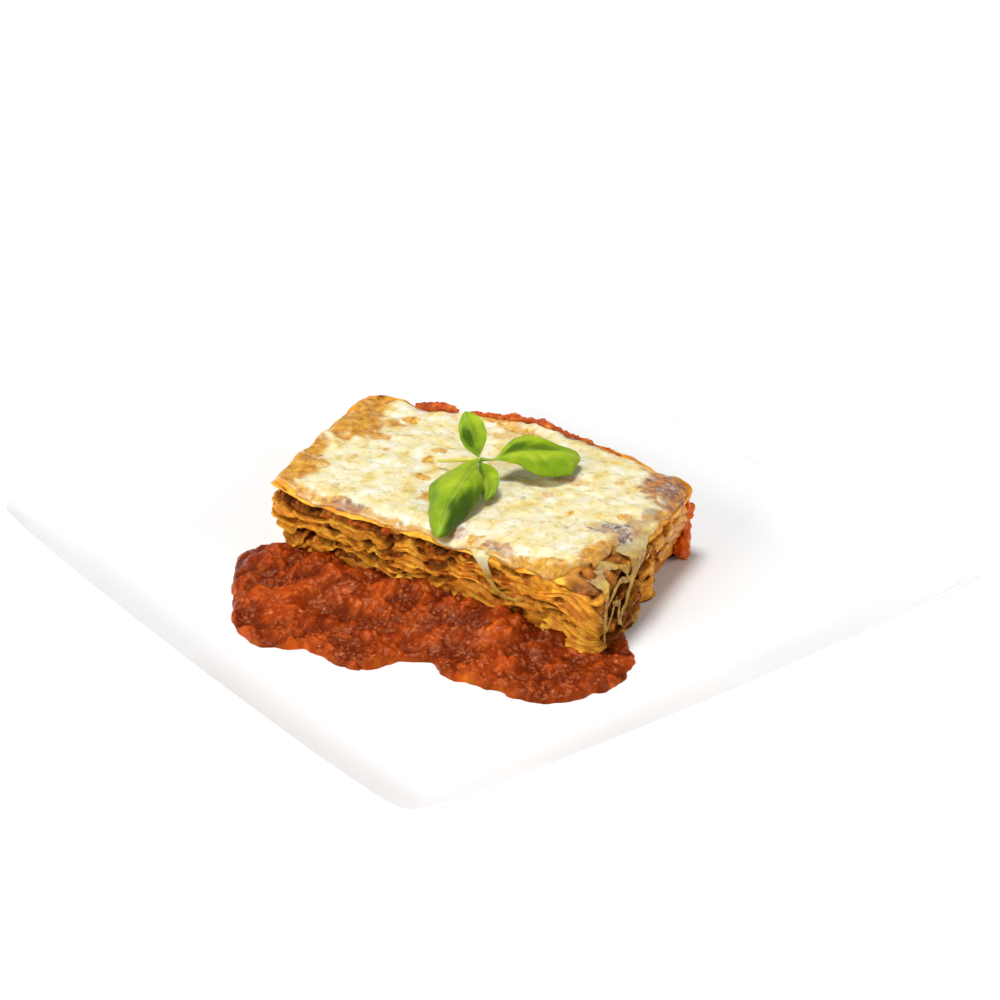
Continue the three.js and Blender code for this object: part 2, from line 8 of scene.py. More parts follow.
import bmesh
import bpy
import numpy as np
from mathutils import Matrix, Vector


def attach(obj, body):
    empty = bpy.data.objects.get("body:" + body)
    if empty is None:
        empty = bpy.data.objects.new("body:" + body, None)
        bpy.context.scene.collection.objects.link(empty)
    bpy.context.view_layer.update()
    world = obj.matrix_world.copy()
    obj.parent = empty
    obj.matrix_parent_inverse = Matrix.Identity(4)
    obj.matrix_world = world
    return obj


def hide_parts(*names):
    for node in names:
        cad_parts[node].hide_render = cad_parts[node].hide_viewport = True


# Camera, solved from the four tips of the plate
FOCAL_PIXELS = 2746.0
PICTURE_PIXELS = 1000.0
SENSOR_MM = 36.0
CAMERA_AZIMUTH = -38.97
CAMERA_ELEVATION = 27.63
CAMERA_ROLL = 1.33
CAMERA_DISTANCE = 1009.0
CAMERA_SIDEWAYS = 7.7
CAMERA_UPWARDS = 24.2

# Light: how strong it is from all round and where it leans, then each lamp's place, size and power, with
# places as seen by the camera (right, away, up)
WORLD_LIGHT = 0.24
WORLD_LEAN = (-0.3, -0.3, 0.0)
LAMPS = [
    ("key", (-0.16, 0.0, 1.2), 0.38, 11.5),
    ("fill", (-0.75, -0.75, 0.6), 0.6, 6.4),
    ("side", (0.9, -0.35, 0.6), 0.6, 2.9),
]
LAMP_TARGET = (0, 0, 0.02)

# Plate
PLATE_HALF = 130.0
FLOOR_Z = 8.0
RIM_WIDTH = 27.0
RIM_RISE_SIDE = 8.8
RIM_RISE_TIP = 12.8
RIM_CURVE = 1.7
RIM_BULGE = 0.45
SIDE_PULL = 0.016
BODY_THICKNESS = 4.4
LIP_THICKNESS = 3.2
FOOT_HALF = 76.0
FOOT_WIDTH = 6.0
FOOT_ROUNDING = 16.0

# Slice
SLICE_LENGTH = 136.0
SLICE_WIDTH = 90.0
SLICE_CENTRE = (4.1, 3.9)
SLICE_TURN = math.radians(-67.2)
SLICE_CORNERS = [(-65, -41), (70, -42), (64.4, 42), (-4, 53), (-72, 42)]
CORNER_ROUNDING = [5.0, 5.0, 2.4, 5.0, 5.0]
GAP = 0.35
SHEET_THICKNESS = 1.6
FILLING_THICKNESS = [2.9, 2.9, 3.1, 3.3, 4.2]
FILLING_DEPTH = 11.0
CHEESE_THICKNESS = 2.2

# Shreds torn from each sheet, lowest height of its parts, rounding of the top's edge, how far the lower
# layers slid inwards at the left and the right end, and how deep the dark hollows go in
SHREDS = 26
LOWEST = FLOOR_Z + 0.1
TOP_ROUNDING = 1.2
SLID_LEFT = 6.5
SLID_RIGHT = 4.6
PIT_DEPTH = 4.2

# Half thicknesses of what is torn or stretched: a sheet's border, its flaps and shreds, folds and skins
BORDER_HALF = 0.62
FLAP_HALF = 0.32
SHRED_HALF = 0.42
FOLD_HALF = 0.22
SKIN_HALF = 0.22

# Sauce on the plate: its thickness, how much deeper it lies against the slice, and its rounded rim
SAUCE_THICKNESS = 5.0
SAUCE_BANK = 6.2
SAUCE_RIM = 4.5

# Fineness of the meshes
BORDER_STEPS = 700
COARSE_STEPS = 90
RIM_STEPS = 26
FLAT_STEPS = 33
CURTAIN_STEPS = 34
CHEESE_PITCH = 0.65
SAUCE_PITCH = 0.5
LID_PITCH = 0.9
SKIN_PITCH = 0.4
LEAF_ROWS = 71
LEAF_COLUMNS = 41

# Floor, in metres, and how strongly its white glows
FLOOR_HALF = 3.0
FLOOR_GLOW = 0.75


def on_plate(points):
    """Slice coordinates in millimetres, as points of the part's frame in metres."""
    u, v, z = points[:, 0], points[:, 1], points[:, 2]
    c, s = math.cos(SLICE_TURN), math.sin(SLICE_TURN)
    x = SLICE_CENTRE[0] + u * c - v * s
    y = SLICE_CENTRE[1] + u * s + v * c
    return np.stack([x, y, z], axis=1) * 0.001


def as_is(points):
    """Plate coordinates in millimetres, as points of the part's frame in metres."""
    return points * 0.001


# Repeatable noise over arrays of points


def smooth(start, end, x):
    """A soft step from 0 at start to 1 at end, whichever is the larger."""
    t = np.clip((x - start) / (end - start), 0, 1)
    return t * t * (3 - 2 * t)


def bump(x, middle, reach):
    """A soft hump, 1 at its middle."""
    return np.exp(-(((x - middle) / reach) ** 2))


def rounded(t, start):
    """Falls from 1 at start to 0 at 1, as the edge of something thick does."""
    return math.sqrt(max(0.0, 1 - max(0.0, (t - start) / (1 - start)) ** 2))


def rolled(depth, reach, power=2):
    """Rises from 0 at a rounded edge to 1 at this reach inside it."""
    return np.sqrt(1 - np.clip(1 - depth / reach, 0, 1) ** power)


def hashed(ix, iy, iz, seed):
    """A random number from 0 to 1 for each cell of whole numbers."""
    h = ix * 73856093 ^ iy * 19349663 ^ iz * 83492791 ^ seed * 40503
    h = (h ^ (h >> 13)) * 1274126177 & 0xFFFFFFFF
    h = (h ^ (h >> 15)) * 668265263 & 0xFFFFFFFF
    return ((h ^ (h >> 16)) & 0xFFFFFF) / 0xFFFFFF


def drift(points, size, seed, octaves=1):
    """Smooth noise, about -1 to 1, whose features have this size."""
    total = np.zeros(len(points))
    strength = 1.0
    for octave in range(octaves):
        p = points / (size / 2 ** octave) + 17.3 * (seed + octave)
        cell = np.floor(p).astype(np.int64)
        t = p - cell
        fade = t * t * t * (t * (t * 6 - 15) + 10)
        for dx in (0, 1):
            for dy in (0, 1):
                for dz in (0, 1):
                    at = [cell[:, 0] + dx, cell[:, 1] + dy, cell[:, 2] + dz]
                    slope = [hashed(*at, seed * 7 + k) * 2 - 1 for k in range(3)]
                    away = [t[:, 0] - dx, t[:, 1] - dy, t[:, 2] - dz]
                    value = sum(g * a for g, a in zip(slope, away))
                    weight = np.ones(len(points))
                    for k, d in enumerate((dx, dy, dz)):
                        weight = weight * (fade[:, k] if d else 1 - fade[:, k])
                    total += strength * 1.9 * value * weight
        strength *= 0.5
    return total


def lumps(points, size, seed):
    """Scattered lumps: the distance to the nearest middle, to the next, and a number for each."""
    p = points / size + 31.7 * seed
    cell = np.floor(p).astype(np.int64)
    nearest = np.full(len(points), 9.0)
    second = np.full(len(points), 9.0)
    number = np.zeros(len(points))
    for dx in (-1, 0, 1):
        for dy in (-1, 0, 1):
            for dz in (-1, 0, 1):
                at = [cell[:, 0] + dx, cell[:, 1] + dy, cell[:, 2] + dz]
                offset = [hashed(*at, seed * 11 + k) for k in range(3)]
                away = sum((at[k] + 0.1 + 0.8 * offset[k] - p[:, k]) ** 2 for k in range(3))
                distance = np.sqrt(away)
                closer = distance < nearest
                second = np.where(closer, nearest, np.minimum(second, distance))
                number = np.where(closer, hashed(*at, seed * 11 + 5), number)
                nearest = np.where(closer, distance, nearest)
    return nearest, second, number


def flat_points(u, v, z=0.0):
    """One point for each u and v."""
    u = np.asarray(u, float)
    return np.stack([u, np.broadcast_to(v, u.shape), np.broadcast_to(z, u.shape)], axis=-1).reshape(-1, 3)


def drift_over(u, v, size, seed, octaves=1):
    """Smooth noise over places on the slice, in the shape in which u and v come."""
    return drift(flat_points(u, v), size, seed, octaves).reshape(np.shape(u))


# Meshes


def grid_faces(rows, columns, wrap_rows=False, wrap_columns=False, start=0):
    """Faces over a grid of points that are numbered from start."""
    r = np.arange(rows if wrap_rows else rows - 1)
    c = np.arange(columns if wrap_columns else columns - 1)
    r, c = np.meshgrid(r, c, indexing="ij")
    below = (r + 1) % rows
    beside = (c + 1) % columns
    corners = [r * columns + c, r * columns + beside, below * columns + beside, below * columns + c]
    return (np.stack(corners, axis=-1).reshape(-1, 4) + start).tolist()


def both_sides(rows, columns):
    """Faces of the two sides of a body, each a grid of points."""
    under = grid_faces(rows, columns, start=rows * columns)
    return grid_faces(rows, columns) + [face[::-1] for face in under]


def tube_faces(rows, length, start=0):
    """Faces of a tube whose points run in rows along it, with a cap at each end."""
    first = [start + row * length for row in range(rows)]
    last = [end + length - 1 for end in first]
    return grid_faces(rows, length, wrap_rows=True, start=start) + [first, last[::-1]]


def grid_rim(rows, columns):
    """Numbers of the points round the border of a grid, anticlockwise."""
    rim = list(range(columns)) + [k * columns + columns - 1 for k in range(1, rows)]
    rim += [rows * columns - 1 - k for k in range(1, columns)]
    return np.array(rim + [(rows - 1 - k) * columns for k in range(1, rows - 1)])


def band(first, second):
    """Faces between two closed loops of points."""
    after = np.roll(np.arange(len(first)), -1)
    return np.stack([first, second, second[after], first[after]], axis=1).tolist()


def used_only(faces):
    """The numbers of the points that the faces use, and the faces renumbered for those alone."""
    used, places = np.unique(faces, return_inverse=True)
    return used, places.reshape(faces.shape).tolist()


def new_piece(name, points, faces, material, tints=None, place=on_plate, nodes=()):
    """A smooth mesh from points in millimetres, riding on the part and standing for its nodes."""
    mesh = bpy.data.meshes.new(name)
    mesh.from_pydata(place(np.asarray(points, float)).tolist(), [], faces)
    for key, values in (tints or {}).items():
        layer = mesh.attributes.new(key, "FLOAT", "POINT")
        layer.data.foreach_set("value", np.asarray(values, np.float32))
    shape = bmesh.new()
    shape.from_mesh(mesh)
    bmesh.ops.recalc_face_normals(shape, faces=shape.faces)
    shape.to_mesh(mesh)
    shape.free()
    mesh.polygons.foreach_set("use_smooth", [True] * len(mesh.polygons))
    mesh.materials.append(material)
    piece = bpy.data.objects.new(name, mesh)
    bpy.context.scene.collection.objects.link(piece)
    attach(piece, "root")
    if nodes:
        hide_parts(*nodes)


def through(points, count, closed=False):
    """A smooth line through given points."""
    p = np.asarray(points, float)
    n = len(p)
    spans = n if closed else n - 1
    out = []
    for t in np.linspace(0, spans, count, endpoint=not closed):
        k = min(int(t), spans - 1)
        f = t - k
        a, b, c, d = [p[(k + j) % n] if closed else p[min(max(k + j, 0), n - 1)] for j in (-1, 0, 1, 2)]
        out.append(0.5 * (2 * b + (c - a) * f + (2 * a - 5 * b + 4 * c - d) * f * f
                          + (3 * b - a - 3 * c + d) * f ** 3))
    return np.array(out)


def evenly(line, count, closed=True):
    """The same line with evenly spaced points."""
    loop = np.vstack([line, line[:1]]) if closed else line
    run = np.concatenate([[0], np.cumsum(np.linalg.norm(np.diff(loop, axis=0), axis=1))])
    at = np.linspace(0, run[-1], count, endpoint=not closed)
    return np.stack([np.interp(at, run, loop[:, k]) for k in range(line.shape[1])], axis=1)


def unit(vectors):
    """The same directions, each with length 1."""
    return vectors / np.linalg.norm(vectors, axis=1)[:, None]


def outward(line):
    """Outward directions of a closed line that runs anticlockwise."""
    along = unit(np.roll(line, -3, axis=0) - np.roll(line, 3, axis=0))
    return np.stack([along[:, 1], -along[:, 0]], axis=1)


def inside_by(line, u, v):
    """How far each point lies inside a closed line; less than nothing outside it."""
    u = np.asarray(u, float)
    v = np.asarray(v, float)
    nearest = np.full(u.shape, 1e9)
    inside = np.zeros(u.shape, bool)
    for a, b in zip(line, np.roll(line, -1, axis=0)):
        d = b - a
        t = np.clip(((u - a[0]) * d[0] + (v - a[1]) * d[1]) / (d @ d), 0, 1)
        nearest = np.minimum(nearest, np.hypot(u - a[0] - t * d[0], v - a[1] - t * d[1]))
        if a[1] != b[1]:
            crosses = (a[1] > v) != (b[1] > v)
            inside ^= crosses & (u < a[0] + (v - a[1]) / (b[1] - a[1]) * d[0])
    return np.where(inside, nearest, -nearest)


def slice_border(count):
    """The slice's outline with rounded corners."""
    corners = np.array(SLICE_CORNERS, float)
    line = []
    for k, corner in enumerate(corners):
        before = corners[k - 1] - corner
        after = corners[(k + 1) % len(corners)] - corner
        start = corner + before / np.linalg.norm(before) * CORNER_ROUNDING[k]
        end = corner + after / np.linalg.norm(after) * CORNER_ROUNDING[k]
        for t in np.linspace(0, 1, 9):
            line.append((1 - t) ** 2 * start + 2 * t * (1 - t) * corner + t * t * end)
    return evenly(np.array(line), count)


# Levels of the stack


def edge_droop(u, v):
    """How far the top of the stack hangs down at its edge."""
    front_right = 2.6 * smooth(-10, 60, u) * smooth(10, -40, v)
    end_corner = 2.6 * smooth(56, 66, u) * bump(v, 23, 12) + 1.8 * smooth(50, 66, u) * smooth(-20, -38, v)
    back_rise = 3.3 * bump(u, 0, 48) * smooth(0, 45, v)
    left_rise = (2.4 + 1.2 * smooth(-35, 5, v)) * smooth(-48, -66, u)
    return 0.5 + front_right + end_corner - back_rise - left_rise


def sheet_levels():
    """The middle heights of the pasta sheets inside the slice."""
    levels = []
    z = FLOOR_Z
    for thickness in FILLING_THICKNESS + [0]:
        levels.append(z + GAP + SHEET_THICKNESS / 2)
        z += 2 * GAP + SHEET_THICKNESS + thickness
    return levels


SHEETS = sheet_levels()
TOP_INSIDE = SHEETS[-1] + SHEET_THICKNESS / 2
BORDER = slice_border(BORDER_STEPS)
OUTWARD = outward(BORDER)
COARSE_BORDER = slice_border(COARSE_STEPS)


def behind(u, v):
    """Whether a place is at the back or at the left end, from 0 to 1."""
    return np.maximum(smooth(30, 38, v) * smooth(64, 54, u), smooth(-60, -66, u) * smooth(-36, -28, v))


def smoothness(u, v):
    """How much smoother the molten layers are than torn ones, from 0 to 1, round the slice."""
    patches = 0.8 * smooth(-0.3, 0.4, drift_over(u, v, 21, 46))
    molten = np.maximum(smooth(12, 40, u) * smooth(-30, -38, v), smooth(58, 64, u) * smooth(-5, 8, v))
    return np.maximum(molten, patches * behind(u, v))


def top_level(u, v):
    """The height of the top sheet's upper face anywhere on the slice."""
    depth = inside_by(COARSE_BORDER, u, v)
    climb = np.clip(1 - depth / 9.0, 0, 1.1)
    wave = (1.3 + 0.5 * smooth(-10, 30, u)) * drift_over(u, v, 11, 347) + 0.5 * drift_over(u, v, 5, 352)
    return TOP_INSIDE - edge_droop(u, v) * climb + wave * smooth(11, 0, depth)


# Heights the sheets fan down to at the front right corner, and the least step from sheet to sheet
CORNER_LEVELS = [9.2, 11.0, 14.0, 17.4, 23.6]
LEAST_STEP = 1.1


def edge_levels():
    """The middle height of each sheet's border, all round, from the bottom sheet up."""
    u, v = BORDER.T
    at = flat_points(u, v)
    room = (TOP_INSIDE - edge_droop(u, v) - FLOOR_Z) / (TOP_INSIDE - FLOOR_Z)
    together = 1.2 * drift(at, 17, 39) + 0.5 * drift(at, 7, 38)
    calm = 1 - 0.6 * smoothness(u, v)
    sunk = 0.95 * smooth(36, 70, u) * smooth(-8, -38, v)
    levels = []
    for k, level in enumerate(SHEETS):
        own = 2.1 * drift(at, 19, 40 + k) + (1.6 * drift(at, 9, 50 + k) + 0.7 * drift(at, 4, 60 + k)) * calm
        share = (0.3, 0.9, 1, 1, 0.9, 0.3)[k]
        height = FLOOR_Z + (level - FLOOR_Z) * room + share * (own + together * (k > 0))
        if k < len(SHEETS) - 1:
            height = height + sunk * (CORNER_LEVELS[k] - height)
        else:
            height = top_level(u, v) - SHEET_THICKNESS / 2 - 0.4
        levels.append(height)
    for k in range(len(levels) - 2, -1, -1):
        levels[k] = np.minimum(levels[k], levels[k + 1] - LEAST_STEP)
    return [np.maximum(level, FLOOR_Z + 0.8 + 0.7 * k) for k, level in enumerate(levels)]


EDGES = edge_levels()


def settled(points):
    """Where the layers came to rest: the lower ones slid inwards at two places of the slice."""
    u, v, z = np.asarray(points, float).T
    left = SLID_LEFT * smooth(-38, -62, u) * smooth(5, -25, v) * smooth(28, 17, z)
    hollow = SLID_RIGHT * smooth(8, 17, v) + 3.0 * bump(v, -1, 3.5) + 2.2 * smooth(-30, -38, v)
    right = smooth(44, 63, u) * smooth(26, 12, z) * hollow
    return on_plate(np.column_stack([u + left - right, v, z]))


# Materials


class Recipe:
    """Builds one node material."""

    def __init__(self, name):
        """An empty material with this name."""
        self.material = bpy.data.materials.new(name)
        self.material.use_nodes = True
        self.tree = self.material.node_tree
        self.shader = self.tree.nodes["Principled BSDF"]
        self.place = self.tree.nodes.new("ShaderNodeTexCoord").outputs["Object"]

    def node(self, kind, **settings):
        """A new node with these settings."""
        made = self.tree.nodes.new(kind)
        for key, value in settings.items():
            setattr(made, key, value)
        return made

    def link(self, source, target):
        """Links one socket to another."""
        self.tree.links.new(source, target)

    def put(self, target, value):
        """Sets a socket to a value, or links it to another socket."""
        if isinstance(value, bpy.types.NodeSocket):
            self.link(value, target)
        else:
            target.default_value = value

    def noise(self, size_mm, detail=4.0, roughness=0.55):
        """Cloudy grey whose patches have about this size."""
        made = self.node("ShaderNodeTexNoise")
        self.link(self.place, made.inputs["Vector"])
        made.inputs["Scale"].default_value = 1000.0 / size_mm
        made.inputs["Detail"].default_value = detail
        made.inputs["Roughness"].default_value = roughness
        return made.outputs["Fac"]

    def cells(self, size_mm):
        """The distance to the nearest of scattered middles."""
        made = self.node("ShaderNodeTexVoronoi")
        self.link(self.place, made.inputs["Vector"])
        made.inputs["Scale"].default_value = 1000.0 / size_mm
        return made.outputs["Distance"]

    def attribute(self, name):
        """A number that the mesh carries at each point."""
        return self.node("ShaderNodeAttribute", attribute_name=name).outputs["Fac"]

    def ramp(self, value, stops):
        """Colours or greys along a value; each stop is a position with a colour or a number."""
        made = self.node("ShaderNodeValToRGB")
        self.link(value, made.inputs["Fac"])
        elements = made.color_ramp.elements
        while len(elements) < len(stops):
            elements.new(0.5)
        for element, (position, colour) in zip(elements, stops):
            element.position = position
            grey = isinstance(colour, (int, float))
            element.color = (colour, colour, colour, 1) if grey else (*colour, 1)
        return made.outputs["Color"]

    def mix(self, share, a, b):
        """Colour a, turning into b by this share."""
        made = self.node("ShaderNodeMix", data_type="RGBA")
        self.put(made.inputs["Factor"], share)
        for target, value in ((made.inputs["A"], a), (made.inputs["B"], b)):
            self.put(target, value if isinstance(value, bpy.types.NodeSocket) else (*value, 1))
        return made.outputs["Result"]

    def math(self, operation, a, b, clamp=False):
        """A sum, product or the like of two values."""
        made = self.node("ShaderNodeMath", operation=operation, use_clamp=clamp)
        self.put(made.inputs[0], a)
        self.put(made.inputs[1], b)
        return made.outputs[0]

    def bump(self, height, depth_mm, strength):
        """Fine relief from a grey."""
        made = self.node("ShaderNodeBump")
        made.inputs["Strength"].default_value = strength
        made.inputs["Distance"].default_value = depth_mm / 1000.0
        self.link(height, made.inputs["Height"])
        return made.outputs["Normal"]

    def finish(self, colour, roughness, normal=None, **sockets):
        """The material, once its shader has these values."""
        self.put(self.shader.inputs["Base Color"], (*colour, 1) if isinstance(colour, tuple) else colour)
        self.put(self.shader.inputs["Roughness"], roughness)
        if normal is not None:
            self.link(normal, self.shader.inputs["Normal"])
        for name, value in sockets.items():
            self.shader.inputs[name.replace("_", " ")].default_value = value
        return self.material

    def soften(self, weight, radius_mm, spread=(1.0, 0.5, 0.25)):
        """Lets light a little way into the food."""
        self.shader.inputs["Subsurface Weight"].default_value = weight
        self.shader.inputs["Subsurface Radius"].default_value = spread
        self.shader.inputs["Subsurface Scale"].default_value = radius_mm / 1000.0


def porcelain():
    """White glazed ware."""
    r = Recipe("white_glaze")
    tone = r.ramp(r.noise(60, 2), [(0.3, (0.82, 0.82, 0.818)), (0.7, (0.835, 0.835, 0.833))])
    gloss = r.ramp(r.noise(30, 2), [(0.3, 0.28), (0.7, 0.32)])
    return r.finish(tone, gloss, Specular_IOR_Level=0.25)


def pasta():
    """Baked pasta, stained with sauce and browned where it stands free, with painted shade in its creases
    and hollows and under its folds.
    """
    r = Recipe("baked_pasta")
    broad = r.ramp(r.noise(9, 3), [
        (0.32, (0.64, 0.19, 0.014)), (0.45, (0.90, 0.34, 0.026)),
        (0.57, (1.0, 0.47, 0.034)), (0.72, (1.0, 0.62, 0.08)),
    ])
    streaks = r.ramp(r.noise(2.2, 5, 0.75), [
        (0.35, (0.52, 0.13, 0.010)), (0.5, (1.0, 0.41, 0.030)), (0.66, (1.0, 0.66, 0.11)),
    ])
    tone = r.mix(0.5, broad, streaks)
    # The stain and browning attributes both also carry painted shade, darkening creases, hollows and the
    # shadow under folds
    stain_and_shade = r.mix(r.attribute("stain_and_shade"), tone, (0.42, 0.075, 0.007))
    browned_and_shaded = r.mix(r.attribute("browned_and_shaded"), stain_and_shade, (0.13, 0.035, 0.007))
    gloss = r.ramp(r.noise(3, 3), [(0.3, 0.22), (0.7, 0.42)])
    fine = r.bump(r.noise(0.9, 4, 0.7), 0.18, 0.9)
    r.soften(0.25, 1.5, (1.0, 0.5, 0.15))
    return r.finish(browned_and_shaded, gloss, fine, Specular_IOR_Level=0.34, Specular_Tint=(1.0, 0.66, 0.27, 1))


def meat():
    """Minced meat in sauce, crumb by crumb, with painted shade in its hollows and the cracks between crumbs.
    """
    r = Recipe("minced_meat_filling")
    kind = r.ramp(r.attribute("crumb"), [
        (0.0, (0.10, 0.024, 0.004)), (0.2, (0.26, 0.06, 0.008)), (0.42, (0.48, 0.13, 0.016)),
        (0.6, (0.76, 0.28, 0.03)), (0.72, (0.80, 0.085, 0.008)), (0.86, (0.86, 0.22, 0.02)),
        (0.95, (0.9, 0.6, 0.2)),
    ])
    grain_tone = r.ramp(r.noise(1.4, 5, 0.75), [
        (0.32, (0.10, 0.025, 0.004)), (0.5, (0.46, 0.13, 0.017)), (0.68, (0.80, 0.34, 0.06)),
    ])
    tone = r.mix(0.4, kind, grain_tone)
    # Painted shade, near black, in hollows and cracks
    painted_shade = r.mix(r.attribute("painted_shade"), tone, (0.03, 0.007, 0.002))
    gloss = r.ramp(r.noise(2, 3), [(0.3, 0.22), (0.7, 0.48)])
    fine = r.bump(r.noise(0.8, 5, 0.7), 0.35, 1.0)
    r.soften(0.12, 1.0)
    return r.finish(painted_shade, gloss, fine, Specular_IOR_Level=0.25, Specular_Tint=(1.0, 0.6, 0.3, 1))


def ragged(r, mask, size_mm, softness=0.28):
    """A soft mask given a torn edge by noise."""
    torn = r.math("MULTIPLY", r.math("SUBTRACT", r.noise(size_mm, 6, 0.8), 0.5), 2.0)
    total = r.math("ADD", mask, r.math("MULTIPLY", torn, r.ramp(mask, [(0.0, 0.0), (0.3, 1.0)])))
    return r.ramp(total, [(0.5 - softness, 0.0), (0.5 + softness, 1.0)])


def cheese():
    """Melted cheese with its golden, toasted, singed, burnt and stretched places; two of the golden places
    are painted shadow under a basil leaf.
    """
    r = Recipe("melted_cheese")
    cream = r.ramp(r.noise(8, 3, 0.6), [
        (0.34, (0.69, 0.51, 0.17)), (0.45, (0.74, 0.64, 0.34)), (0.56, (0.77, 0.71, 0.50)),
        (0.68, (0.80, 0.78, 0.67)),
    ])
    oil = r.ramp(r.noise(4.5, 3, 0.6), [(0.53, 0.0), (0.72, 0.6)])
    oily = r.mix(oil, cream, (0.66, 0.50, 0.11))
    specks = r.ramp(r.cells(3.4), [(0.05, 0.7), (0.26, 0.0)])
    thinned = r.math("MULTIPLY", specks, r.ramp(r.noise(8, 2), [(0.45, 0.0), (0.56, 1.0)]))
    speckled = r.mix(thinned, oily, (0.58, 0.33, 0.04))
    golden = r.mix(ragged(r, r.attribute("golden"), 4, 0.5), speckled, r.ramp(r.noise(3, 4, 0.7), [
        (0.3, (0.30, 0.10, 0.012)), (0.47, (0.54, 0.23, 0.024)), (0.6, (0.68, 0.36, 0.04)),
        (0.75, (0.78, 0.52, 0.12)),
    ]))
    toasted = r.mix(ragged(r, r.attribute("toasted"), 2.6, 0.45), golden, r.ramp(r.noise(1.8, 4, 0.7), [
        (0.34, (0.34, 0.12, 0.012)), (0.5, (0.62, 0.31, 0.03)), (0.64, (0.77, 0.52, 0.12)),
    ]))
    purple = r.mix(ragged(r, r.attribute("singed"), 3.0, 0.5), toasted, r.ramp(r.noise(2.2, 4, 0.7), [
        (0.36, (0.16, 0.08, 0.07)), (0.47, (0.30, 0.14, 0.09)), (0.56, (0.50, 0.20, 0.05)),
        (0.7, (0.58, 0.28, 0.08)),
    ]))
    ashes = r.ramp(r.noise(1.7, 4, 0.75), [
        (0.38, (0.07, 0.045, 0.035)), (0.47, (0.19, 0.13, 0.10)), (0.54, (0.38, 0.31, 0.26)),
        (0.62, (0.70, 0.66, 0.56)),
    ])
    burnt = r.mix(ragged(r, r.attribute("burnt"), 3.0, 0.4), purple, ashes)
    stretched = r.mix(r.attribute("stretched"), burnt, r.ramp(r.noise(2.4, 4, 0.65), [
        (0.36, (0.28, 0.10, 0.008)), (0.5, (0.48, 0.25, 0.022)), (0.66, (0.62, 0.42, 0.07)),
    ]))
    glossy = r.ramp(r.noise(4, 3), [(0.3, 0.22), (0.7, 0.42)])
    gloss = r.mix(r.attribute("stretched"), glossy, (0.62, 0.62, 0.62))
    fine = r.bump(r.noise(2.6, 2, 0.5), 0.25, 0.7)
    r.soften(0.35, 2.2, (1.0, 0.8, 0.5))
    return r.finish(stretched, gloss, fine, Specular_IOR_Level=0.4)


def sauce():
    """Chunky tomato sauce, clearer and brighter where it runs thin, with painted shade in its creases and
    painted glints on its lumps.
    """
    r = Recipe("chunky_tomato_sauce")
    kind = r.ramp(r.attribute("crumb"), [
        (0.0, (0.16, 0.013, 0.001)), (0.3, (0.30, 0.031, 0.002)), (0.6, (0.47, 0.060, 0.004)),
        (0.85, (0.62, 0.100, 0.007)), (0.97, (0.70, 0.17, 0.012)),
    ])
    grain_tone = r.ramp(r.noise(2.4, 4, 0.7), [
        (0.32, (0.15, 0.012, 0.001)), (0.5, (0.42, 0.048, 0.003)), (0.68, (0.72, 0.15, 0.010)),
    ])
    tone = r.mix(0.5, kind, grain_tone)
    rim_tone = r.ramp(r.noise(4, 3), [
        (0.38, (0.64, 0.08, 0.004)), (0.54, (0.72, 0.12, 0.006)), (0.68, (0.76, 0.20, 0.010)),
    ])
    rim = r.mix(r.attribute("thin"), tone, rim_tone)
    # Painted shade in creases, valleys and beside the slice
    painted_shade = r.mix(r.attribute("painted_shade"), rim, (0.085, 0.007, 0.001))
    # Painted glints: pale pink dots on the lumps standing in for highlights, fewer where the sauce runs thin
    painted_glints = r.math("MULTIPLY", r.ramp(r.cells(1.9), [(0.14, 0.6), (0.42, 0.0)]),
                 r.ramp(r.noise(7, 3, 0.6), [(0.46, 0.0), (0.6, 1.0)]))
    fewer = r.math("MULTIPLY", painted_glints, r.math("SUBTRACT", 1.0, r.attribute("thin"), clamp=True))
    glinted = r.mix(fewer, painted_shade, (0.66, 0.18, 0.06))
    gloss = r.ramp(r.noise(1.6, 3), [(0.35, 0.14), (0.65, 0.38)])
    fine = r.bump(r.noise(1.3, 3, 0.65), 0.4, 0.8)
    r.soften(0.1, 1.2, (1.0, 0.3, 0.1))
    return r.finish(glinted, gloss, fine, Specular_IOR_Level=0.32, Specular_Tint=(1.0, 0.46, 0.22, 1))


def tomato():
    """Baked tomato, dark in places."""
    r = Recipe("baked_tomato")
    tone = r.ramp(r.noise(5, 5, 0.65), [
        (0.3, (0.168, 0.036, 0.0072)), (0.5, (0.48, 0.072, 0.0108)), (0.63, (0.6, 0.18, 0.03)),
        (0.78, (0.696, 0.396, 0.12)),
    ])
    gloss = r.ramp(r.noise(2.5, 3), [(0.3, 0.2), (0.7, 0.45)])
    fine = r.bump(r.noise(1.1, 5, 0.7), 0.25, 0.8)
    r.soften(0.3, 1.8, (1.0, 0.4, 0.15))
    return r.finish(tone, gloss, fine, Specular_IOR_Level=0.3, Specular_Tint=(1.0, 0.5, 0.3, 1))


